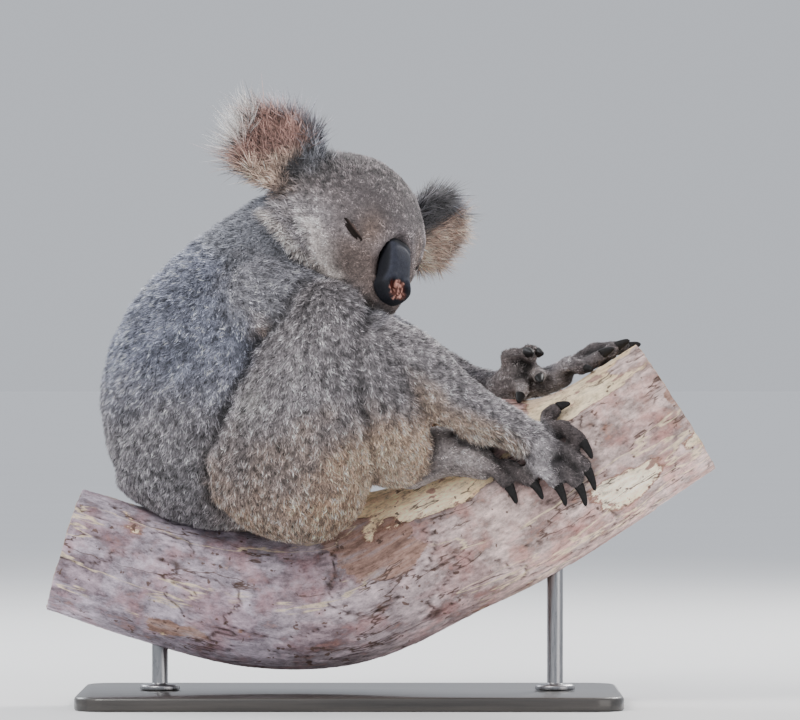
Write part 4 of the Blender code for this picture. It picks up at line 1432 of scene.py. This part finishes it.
class KOALA_OT_nose(bpy.types.Operator):
    """Shape the nose pad and its nostrils"""
    bl_idname = "koala.nose"
    bl_label = "Nose"

    def execute(self, context):
        settings = context.scene.koala_nose
        piece = round_ball("nose_pad", 112, 80)
        points = unit(read_points(piece.data))
        round_off = (np.abs(points) ** NOSE_SQUARENESS).sum(1) ** (
            -1 / NOSE_SQUARENESS)
        points = points * round_off[:, None]
        forward, left, up = points.T
        left = left * (1.0 + 0.10 * step_between(up, 0.35, 0.9))
        side = np.abs(left)
        flare = np.exp(-((up + 0.55) / 0.30) ** 2)
        shape = np.stack((
            forward * 0.0125 * (1.0 - 0.12 * step_between(up, 0.2, 1.0)),
            left * 0.0172 * (0.84 + 0.30 * flare),
            up * 0.0348), 1)
        front = step_between(forward, 0.0, 0.6)
        # Nostrils: two commas low on the pad, with a ridge between them
        comma = np.sqrt(((side - 0.44 - 0.18 * (up + 0.62)) / 0.20) ** 2
                        + ((up + 0.60) / 0.22) ** 2)
        hollow = np.exp(-comma ** 4) * step_between(forward, -0.1, 0.3)
        rim = np.exp(-((comma - 1.25) / 0.30) ** 2) * front
        septum = np.exp(-(left / 0.10) ** 2) * np.exp(
            -((up + 0.62) / 0.30) ** 2) * front
        push = -0.0062 * hollow + 0.0009 * rim - 0.0010 * septum
        crease = np.exp(-((up - 0.76 + 0.25 * left ** 2) / 0.06) ** 2) * front
        push -= 0.0009 * crease
        wrinkle = layered_noise(shape, 420.0, 3, 51)
        push += wrinkle * 0.00016
        shape += unit(shape * np.array((5.0, 2.5, 1.0))) * push[:, None]
        write_points(piece.data, place_points(shape, nose_matrix()))
        slate = np.array(settings.slate)
        pink = np.array(settings.pink)
        mottle = layered_noise(shape, 260.0, 3, 52)
        colour = slate * (1.0 + 0.25 * mottle)[:, None]
        colour = blend(colour, slate * 0.20, step_between(up, 0.72, 0.84))
        colour = blend(colour, slate * 0.22, step_between(side, 0.86, 0.98) * 0.9)
        low = step_between(-up - 0.25 * side, 0.22, 0.42)
        colour = blend(colour, slate * 0.22, low * 0.9)
        rough_edge = 0.10 * layered_noise(shape, 210.0, 3, 53)
        reach = np.sqrt((side / (0.52 + 0.45 * np.clip(-up - 0.45, 0, 0.4))) ** 2
                        + ((up + 0.68) / 0.27) ** 2) + rough_edge * 2.4
        fleshy = step_between(-reach, -1.08, -0.86) * step_between(forward, 0.1, 0.4)
        colour = blend(colour, pink * (0.17, 0.13, 0.12), fleshy)
        fleshy *= step_between(layered_noise(shape, 230.0, 3, 54), -0.02, 0.10)
        colour = blend(colour, pink * (1.15, 1.30, 1.35), fleshy)
        # Painted shade deep in the nostril hollows.
        colour = blend(colour, pink * (0.16, 0.07, 0.06),
                       np.clip(hollow * 1.3, 0, 1) * step_between(-comma, -0.85, -0.5))
        paint(piece.data, "surface_colour", colour)
        shade_smooth(piece)
        material, tree, shader = new_material("nose_leather", rough=0.60, specular=0.18)
        flecked_colour(tree, shader, "surface_colour", 900.0, 0.35)
        pebble = add_node(tree, "ShaderNodeTexVoronoi", feature="F1")
        pebble.inputs["Scale"].default_value = 1300.0
        tree.links.new(object_vector(tree), pebble.inputs["Vector"])
        tree.links.new(
            ramp_node(tree, pebble.outputs["Distance"], ((0.0, 0.55), (0.8, 0.75))),
            shader.inputs["Roughness"])
        relief(tree, shader, pebble.outputs["Distance"], 0.35, 0.0004)
        finish_piece(piece, "nose_pad", material, ["nose"])
        return {"FINISHED"}


class KOALA_OT_lids(bpy.types.Operator):
    """Shape the two closed eyes"""
    bl_idname = "koala.lids"
    bl_label = "Eyelids"

    def execute(self, context):
        tone = np.array(context.scene.koala_nose.lid)
        material, tree, shader = new_material("lid_skin", rough=0.80, specular=0.10)
        flecks = flecked_colour(tree, shader, "surface_colour", 800.0, 0.6)
        relief(tree, shader, flecks.outputs["Height"], 0.5, 0.0006)
        for name, side in SIDES.items():
            piece = round_ball("lid_" + name, 96, 64)
            outward, along, up = unit(read_points(piece.data)).T
            front = step_between(outward, 0.0, 0.4)
            line = up + 0.10 + 0.16 * (1.0 - along ** 2)
            reach = step_between(-np.abs(along), -0.97, -0.80)
            slit = np.exp(-(line / 0.32) ** 2) * front * reach
            upper = np.exp(-((line - 0.48) / 0.24) ** 2) * front * reach
            fold = np.exp(-((line - 0.85) / 0.08) ** 2) * front
            lower = np.exp(-((line + 0.38) / 0.16) ** 2) * front * reach
            swell = (1.0 - 0.26 * slit + 0.06 * upper - 0.03 * fold + 0.045 * lower)
            shape = np.stack((outward * 0.0036, along * 0.0160, up * 0.0046), 1)
            shape *= swell[:, None]
            shape[:, 0] += eye_terms(shape) @ body["eye_" + name] - 0.0010
            write_points(piece.data, place_points(shape, lid_matrix(side)))
            wave = layered_noise(shape, 500.0, 2, 61)
            colour = tone * (1.0 + 0.25 * wave)[:, None]
            colour = blend(colour, tone * 1.9, np.clip(lower, 0, 1) * 0.6)
            # Painted shade in the fold over the lid.
            colour = blend(colour, tone * 0.55, np.clip(fold, 0, 1) * 0.6)
            # The slit, near black: the lids' dark edges and painted shade in the
            # shallow groove.
            seam = np.exp(-(line / 0.60) ** 2) * front
            colour = blend(colour, (0.010, 0.007, 0.006), np.clip(seam * 2.5, 0, 1))
            paint(piece.data, "surface_colour", colour)
            shade_smooth(piece)
            finish_piece(piece, "lid_" + name, material,
                         ["eyelid_" + name])
        return {"FINISHED"}


# ------------------------------------------------------------ claws


class KOALA_OT_claws(bpy.types.Operator):
    """Round off every claw"""
    bl_idname = "koala.claws"
    bl_label = "Claws"

    def execute(self, context):
        horn = np.array(context.scene.koala_claw.horn)
        material, tree, shader = new_material("claw_horn", rough=0.50, specular=0.15)
        vector = object_vector(tree)
        streak = noise_node(tree, vector, 320.0, 4.0, 0.6)
        tree.links.new(
            ramp_node(tree, streak, ((0.35, tuple(horn)), (0.75, tuple(horn * 2.6)))),
            shader.inputs["Base Color"])
        tree.links.new(ramp_node(tree, streak, ((0.3, 0.42), (0.7, 0.60))),
                       shader.inputs["Roughness"])
        relief(tree, shader, streak, 0.25, 0.0004)
        for node in sorted(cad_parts):
            if not node.startswith("claw_"):
                continue
            piece = copy_of_solid(node, node + "_horn")
            apply_modifier(piece, "SUBSURF", levels=2, render_levels=2)
            apply_modifier(piece, "DISPLACE", strength=0.0013, mid_level=0.0)
            shade_smooth(piece)
            finish_piece(piece, node + "_horn", material, [node])
        return {"FINISHED"}


# ------------------------------------------------------------ branch


def branch_grid(around, along):
    """A grid whose points become the branch: its angle and its row."""
    deselect_all()
    bpy.ops.mesh.primitive_grid_add(
        x_subdivisions=around, y_subdivisions=along, size=2.0, location=(0, 0, 0))
    piece = bpy.context.object
    points = read_points(piece.data)
    angle = (points[:, 0] + 1.0) * math.pi
    share = (points[:, 1] + 1.0) / 2.0
    return piece, angle, share


def at_spot(spot, gone, curve):
    """Point and radius of the branch so far along it."""
    row = np.stack([np.interp(spot, gone, curve[:, k]) for k in range(4)], 1)
    return row[:, :3], row[:, 3]


class KOALA_OT_branch(bpy.types.Operator):
    """Shape the branch and its bark"""
    bl_idname = "koala.branch"
    bl_label = "Branch"

    def execute(self, context):
        settings = context.scene.koala_branch
        around, rows, cap = 220, 350, 22
        piece, angle, share = branch_grid(around, rows)
        row = share * rows
        body_share = np.clip((row - cap) / (rows - 2 * cap), 0.0, 1.0)
        curve = smooth_row(BRANCH, 24)
        gone = np.concatenate((
            [0.0], np.cumsum(np.linalg.norm(np.diff(curve[:, :3], axis=0), axis=1))))
        spot = body_share * gone[-1]
        middle, radius = at_spot(spot, gone, curve)
        ahead, _ = at_spot(spot + 0.01, gone, curve)
        behind, _ = at_spot(spot - 0.01, gone, curve)
        tangent = unit(ahead - behind)
        across = np.tile((0.0, 1.0, 0.0), (len(spot), 1))
        up = np.cross(tangent, across)
        inward = np.clip(np.maximum(cap - row, row - (rows - cap)) / cap, 0.0, 1.0)
        shrink = np.where(inward > 0, 1.0 - inward ** 0.9, 1.0)
        straight = np.stack((spot, radius * np.cos(angle), radius * np.sin(angle)), 1)
        end = step_between(inward, 0.02, 0.05)
        # Plates of old bark stand proud of the fresh bark under them
        wide = layered_noise(straight * (0.55, 1.0, 1.0), 11.0, 5, 71)
        side_up = np.sin(angle)
        wide += 0.62 + 0.5 * step_between(-spot, -0.34, -0.27)
        wide -= 1.35 * np.exp(-((spot - 0.420) / 0.062) ** 2) * step_between(
            side_up, 0.10, 0.55)
        wide -= 1.45 * np.exp(-((spot - 0.625) / 0.095) ** 2) * step_between(
            side_up, 0.35, 0.80)
        worn = layered_noise(straight * (0.5, 1.0, 1.0), 13.0, 4, 101) - 0.62
        worn += 1.0 * np.exp(-((spot - 0.335) / 0.060) ** 2) * step_between(
            side_up, -0.35, 0.35)
        plate = step_between(wide, -0.02, 0.03)
        thin = layered_noise(straight * (0.35, 1.0, 1.0), 24.0, 4, 75)
        second = step_between(thin, 0.25, 0.29)
        crack_field = np.abs(layered_noise(straight * (0.30, 1.0, 1.0), 17.0, 4, 81))
        crack = np.exp(-(crack_field / 0.018) ** 2) * plate
        dents = layered_noise(straight * (0.5, 1.0, 1.0), 9.0, 3, 85)
        height = settings.relief_depth * (plate * 1.0 + second * 0.55 - crack * 1.1)
        height += 0.0011 * dents + 0.00035 * layered_noise(straight, 220.0, 2, 91)
        turned = (angle - math.pi / 2 + HUMP_TURN) / HUMP_WIDTH
        for place, rise, reach_along in HUMPS:
            hump = np.interp(place, curve[:, 0], gone)
            height += rise * np.exp(
                -((spot - hump) / reach_along) ** 2 - turned ** 2)
        height -= settings.relief_depth * 1.3
        reach = (radius + height * (1.0 - end)) * shrink
        points = middle + across * (np.cos(angle) * reach)[:, None]
        points += up * (np.sin(angle) * reach)[:, None]
        bulge = end * (0.0012 * layered_noise(points, 60.0, 3, 95)
                       - 0.0008 * np.sin(reach * 2200.0))
        points += tangent * (np.where(row < cap, -1.0, 1.0) * bulge)[:, None]
        write_points(piece.data, points)
        for name, values in (("second", second), ("crack", crack), ("end", end),
                             ("reach", reach / 0.075), ("wide", wide),
                             ("worn", worn), ("low", -side_up), ("far", spot)):
            layer = piece.data.attributes.new(name, "FLOAT", "POINT")
            layer.data.foreach_set("value", values.astype(np.float32))
        layer = piece.data.attributes.new("straight", "FLOAT_VECTOR", "POINT")
        layer.data.foreach_set("vector", straight.astype(np.float32).ravel())
        piece.data.uv_layers.remove(piece.data.uv_layers[0])
        merge_doubles(piece, 0.00002)
        shade_smooth(piece)
        finish_piece(piece, "branch_bark", bark_material(settings), ["perch"])
        return {"FINISHED"}


def bark_material(settings):
    """Cream new bark under lilac plates with rusty peeling edges."""
    material, tree, shader = new_material("bark", rough=0.85, specular=0.25)
    masks = {name: add_node(tree, "ShaderNodeAttribute", attribute_name=name).outputs[
        "Fac"] for name in ("second", "crack", "end", "reach", "wide", "worn", "low",
                            "far")}
    place = add_node(
        tree, "ShaderNodeAttribute", attribute_name="straight").outputs["Vector"]
    cream, lilac, rust = (
        np.array(c) for c in (settings.cream, settings.lilac, settings.rust))
    medium = noise_node(tree, place, 52.0, 6.0, 0.70, (0.6, 1, 1))
    fine = noise_node(tree, place, 230.0, 5.0, 0.75, (0.5, 1, 1))
    ragged = math_node(tree, "MULTIPLY", math_node(tree, "ADD", noise_node(
        tree, place, 130.0, 6.0, 0.75, (0.6, 1, 1)), -0.5), 0.55)

    def crisp(value, low, high):
        """A mask with a finely ragged edge."""
        return ramp_node(tree, math_node(tree, "ADD", math_node(
            tree, "ADD", value, ragged), 0.5), ((0.5 + low, 0.0), (0.5 + high, 1.0)))

    # Fresh bark, creamy with rusty flecks
    broad = noise_node(tree, place, 16.0, 5.0, 0.6, (0.5, 1, 1))
    fresh = ramp_node(tree, broad, ((0.36, tuple(cream * (0.95, 0.85, 0.75))),
                                    (0.50, tuple(cream * 1.2)),
                                    (0.66, tuple(cream * (1.4, 1.5, 1.7)))))
    flecks = ramp_node(tree, noise_node(tree, place, 75.0, 5.0, 0.6, (0.6, 1, 1)), (
        (0.37, 0.0), (0.41, 1.0)))
    fresh = mix_node(tree, flecks, tuple(rust * 1.3), fresh)
    # Painted light: the fresh bark is lightened over the first part of the branch.
    painted_sunlight = ramp_node(tree, masks["far"], ((0.45, (1.45, 1.42, 1.35)),
                                           (0.52, (1.05, 1.05, 1.05))))
    fresh = mix_node(tree, 1.0, fresh, painted_sunlight, "MULTIPLY")
    # Weathered bark, lilac with pink patches, brown where it is worn
    old = ramp_node(tree, medium, (
        (0.33, tuple(rust * (1.5, 1.5, 1.6))), (0.42, tuple(lilac * 0.85)),
        (0.49, tuple(lilac * 1.30)), (0.57, tuple(lilac * 1.75)),
        (0.68, tuple(lilac * 2.3))))
    pinkish = ramp_node(tree, noise_node(tree, place, 27.0, 5.0, 0.6), (
        (0.50, 0.0), (0.64, 0.70)))
    old = mix_node(tree, pinkish, old, tuple(lilac * (1.45, 1.02, 0.95)))
    tint = ramp_node(tree, masks["far"], ((0.20, (0.78, 0.80, 0.92)),
                                          (0.45, (1.06, 0.98, 0.90))))
    old = mix_node(tree, 1.0, old, tint, "MULTIPLY")
    streaks = noise_node(tree, place, 95.0, 5.0, 0.65, (0.12, 1, 1))
    brown = ramp_node(tree, streaks, (
        (0.35, tuple(rust * 0.75)), (0.50, tuple(rust * 1.5)),
        (0.66, tuple(lilac * 1.2))))
    old = mix_node(tree, crisp(masks["worn"], -0.01, 0.03), old, brown)
    colour = mix_node(tree, crisp(masks["wide"], -0.01, 0.02), fresh, old)
    thin = mix_node(tree, 1.0, colour, (0.84, 0.77, 0.77), "MULTIPLY")
    colour = mix_node(tree, masks["second"], colour, thin)
    # Rusty lips of the plates, pits, veins and cracks
    lip = math_node(tree, "ABSOLUTE", math_node(
        tree, "ADD", math_node(tree, "ADD", masks["wide"], ragged), -0.03))
    lip = math_node(tree, "MULTIPLY", ramp_node(tree, lip, ((0.015, 1.0), (0.06, 0.0))),
                    ramp_node(tree, broad, ((0.42, 0.2), (0.55, 0.9))))
    colour = mix_node(tree, lip, colour, tuple(rust * (1.1, 0.95, 0.85)))
    pits = ramp_node(tree, noise_node(tree, place, 120.0, 2.0, 0.5), (
        (0.67, 0.0), (0.70, 0.9)))
    colour = mix_node(tree, pits, colour, tuple(rust * 0.45))
    for scale, stretch, stops, line in (
            (23.0, (0.22, 1, 1), ((0.004, 0.9), (0.010, 0.0)), tuple(rust * 0.35)),
            (15.0, (0.16, 1, 1), ((0.003, 0.8), (0.008, 0.0)), tuple(cream * 1.2))):
        vein = math_node(tree, "ABSOLUTE", math_node(tree, "ADD", noise_node(
            tree, place, scale, 5.0, 0.6, stretch), -0.5))
        some = ramp_node(tree, noise_node(tree, place, scale * 0.7, 2.0), (
            (0.46, 0.0), (0.52, 1.0)))
        vein = math_node(tree, "MULTIPLY", ramp_node(tree, vein, stops), some)
        colour = mix_node(tree, vein, colour, line)
    colour = mix_node(tree, math_node(tree, "MULTIPLY", masks["crack"], 0.9), colour,
                      tuple(rust * 0.22))
    shade = ramp_node(tree, fine, ((0.30, 0.42), (0.46, 0.90), (0.68, 1.35)))
    colour = mix_node(tree, 0.95, colour, shade, "MULTIPLY")
    # Painted light: the underside of the branch is lightened.
    lower = ramp_node(tree, masks["low"], ((0.1, 1.0), (0.8, 1.45)))
    colour = mix_node(tree, 1.0, colour, lower, "MULTIPLY")
    # Growth rings of the cut ends
    rings = math_node(tree, "SINE", math_node(
        tree, "MULTIPLY", math_node(tree, "ADD", masks["reach"], math_node(
            tree, "MULTIPLY", broad, 0.25)), 95.0))
    wood = ramp_node(tree, rings, (
        (0.0, (0.30, 0.17, 0.085)), (0.5, (0.47, 0.31, 0.17)),
        (1.0, (0.52, 0.36, 0.21))))
    colour = mix_node(tree, masks["end"], colour, wood)
    tree.links.new(colour, shader.inputs["Base Color"])
    tree.links.new(ramp_node(tree, fine, ((0.3, 0.95), (0.7, 0.65))),
                   shader.inputs["Roughness"])
    relief(tree, shader, fine, 0.7, 0.0018)
    return material


# ------------------------------------------------------------ stand


class KOALA_OT_stand(bpy.types.Operator):
    """Make the base board and the two rods"""
    bl_idname = "koala.stand"
    bl_label = "Stand"

    def execute(self, context):
        settings = context.scene.koala_stand
        board = copy_of_solid("stand_base", "stand_board")
        apply_modifier(board, "DECIMATE", decimate_type="DISSOLVE",
                       angle_limit=math.radians(4))
        apply_modifier(board, "BEVEL", width=0.0022, segments=4,
                       limit_method="ANGLE", angle_limit=math.radians(50))
        make_active(board)
        bpy.ops.object.shade_smooth_by_angle(angle=math.radians(35))
        material, tree, shader = new_material("board_lacquer", rough=0.38, coat=0.35)
        vector = object_vector(tree)
        grain = noise_node(tree, vector, 14.0, 6.0, 0.6, (0.35, 7.0, 7.0))
        dark = tuple(c * 0.6 for c in settings.board)
        light = tuple(c * 1.7 for c in settings.board)
        tree.links.new(ramp_node(tree, grain, ((0.35, dark), (0.65, light))),
                       shader.inputs["Base Color"])
        relief(tree, shader, grain, 0.25, 0.0006)
        finish_piece(board, "stand_board", material, ["stand_base"])
        steel, tree, shader = new_material("rod_steel", rough=0.32)
        vector = object_vector(tree)
        shader.inputs["Metallic"].default_value = 1.0
        brushed = noise_node(tree, vector, 60.0, 4.0, 0.6, (12.0, 12.0, 0.8))
        dull = tuple(c * 0.75 for c in settings.steel)
        tree.links.new(ramp_node(tree, brushed, ((0.3, dull), (0.7, settings.steel))),
                       shader.inputs["Base Color"])
        tree.links.new(ramp_node(tree, brushed, ((0.3, 0.24), (0.7, 0.42))),
                       shader.inputs["Roughness"])
        relief(tree, shader, brushed, 0.15, 0.0003)
        for node in RODS:
            rod = copy_of_solid(node, node + "_round")
            apply_modifier(rod, "BEVEL", width=0.0012, segments=3,
                           limit_method="ANGLE", angle_limit=math.radians(50))
            make_active(rod)
            bpy.ops.object.shade_smooth_by_angle(angle=math.radians(40))
            finish_piece(rod, node + "_round", steel, [node])
        return {"FINISHED"}


# ------------------------------------------------------------ stage


LIGHT_AIM = (0.0, 0.0, 0.30)


def area_light(name, place, aim, size, power, colour):
    bpy.ops.object.light_add(type="AREA", location=place)
    lamp = bpy.context.object
    lamp.name = name
    lamp.data.size = size
    lamp.data.energy = power
    lamp.data.color = colour
    lamp.rotation_euler = (Vector(aim) - Vector(place)).to_track_quat(
        "-Z", "Y").to_euler()
    return lamp


class KOALA_OT_stage(bpy.types.Operator):
    """Add the floor, the lights and the camera"""
    bl_idname = "koala.stage"
    bl_label = "Stage"

    def execute(self, context):
        settings = context.scene.koala_stage
        deselect_all()
        bpy.ops.mesh.primitive_circle_add(
            vertices=96, radius=60.0, fill_type="NGON", location=(0, 0, 0))
        floor = bpy.context.object
        floor.name = "floor"
        material, tree, shader = new_material("floor_paper", rough=0.9, specular=0.1)
        tint = noise_node(tree, object_vector(tree), 3.0, 3.0)
        light = tuple(c * 1.02 for c in settings.floor)
        tree.links.new(
            ramp_node(tree, tint, ((0.3, tuple(settings.floor)), (0.7, light))),
            shader.inputs["Base Color"])
        floor.data.materials.append(material)
        world = bpy.data.worlds.new("studio")
        world.use_nodes = True
        tree = world.node_tree
        sky = tree.nodes["Background"]
        split = add_node(tree, "ShaderNodeSeparateXYZ")
        tree.links.new(add_node(tree, "ShaderNodeTexCoord").outputs["Generated"],
                       split.inputs["Vector"])
        zenith = (0.88, 0.92, 1.0)
        horizon = tuple(a * b * 0.95 for a, b in zip(zenith, settings.floor))
        tree.links.new(
            ramp_node(tree, split.outputs["Z"], ((0.06, horizon), (0.35, zenith))),
            sky.inputs["Color"])
        sky.inputs["Strength"].default_value = 1.0
        context.scene.world = world
        for name, place, size, power, colour in (
                ("key", (-1.5, -1.7, 2.3), 1.2, settings.key_power, (1.0, 0.97, 0.92)),
                ("fill", (2.4, -2.0, 0.9), 1.8, 24.0, (1.0, 0.95, 0.90)),
                ("rim", (1.5, 1.9, 2.1), 1.0, 90.0, (1.0, 0.98, 0.95)),
                ("rim_left", (-1.8, 1.5, 1.6), 1.0, 45.0, (0.92, 0.96, 1.0))):
            area_light(name, place, LIGHT_AIM, size, power, colour)
        bpy.ops.object.camera_add(
            location=(0.05, -settings.camera_distance, settings.camera_height),
            rotation=(math.radians(90), 0, 0))
        camera = bpy.context.object
        camera.data.lens = 270.0
        camera.data.sensor_width = 36.0
        camera.data.clip_start = 0.1
        camera.data.clip_end = 100.0
        context.scene.camera = camera
        return {"FINISHED"}


# ------------------------------------------------------------ add-on


SETTINGS = {
    "koala_skin": KoalaSkinSettings, "koala_coat": KoalaCoatSettings,
    "koala_nose": KoalaNoseSettings, "koala_claw": KoalaClawSettings,
    "koala_branch": KoalaBranchSettings, "koala_stand": KoalaStandSettings,
    "koala_stage": KoalaStageSettings,
}
OPERATORS = (KOALA_OT_skin, KOALA_OT_coat, KOALA_OT_nose, KOALA_OT_lids,
             KOALA_OT_claws, KOALA_OT_branch, KOALA_OT_stand, KOALA_OT_stage)


class KOALA_PT_panel(bpy.types.Panel):
    """Pieces of the koala and their settings"""
    bl_idname = "KOALA_PT_panel"
    bl_label = "Koala"
    bl_space_type = "VIEW_3D"
    bl_region_type = "UI"
    bl_category = "Koala"

    def draw(self, context):
        for operator in OPERATORS:
            self.layout.operator(operator.bl_idname)
        for name, group in SETTINGS.items():
            box = self.layout.box()
            box.label(text=name.replace("_", " ").capitalize())
            for prop in group.__annotations__:
                box.prop(getattr(context.scene, name), prop)


def register():
    for item in (*SETTINGS.values(), *OPERATORS, KOALA_PT_panel):
        bpy.utils.register_class(item)
    for name, group in SETTINGS.items():
        setattr(bpy.types.Scene, name, PointerProperty(type=group))


def unregister():
    for name in SETTINGS:
        delattr(bpy.types.Scene, name)
    for item in (KOALA_PT_panel, *OPERATORS, *SETTINGS.values()):
        bpy.utils.unregister_class(item)


def main():
    """Makes every piece in order."""
    register()
    bpy.ops.koala.skin()
    bpy.ops.koala.coat()
    bpy.ops.koala.nose()
    bpy.ops.koala.lids()
    bpy.ops.koala.claws()
    bpy.ops.koala.branch()
    bpy.ops.koala.stand()
    bpy.ops.koala.stage()


if __name__ == "__main__":
    main()
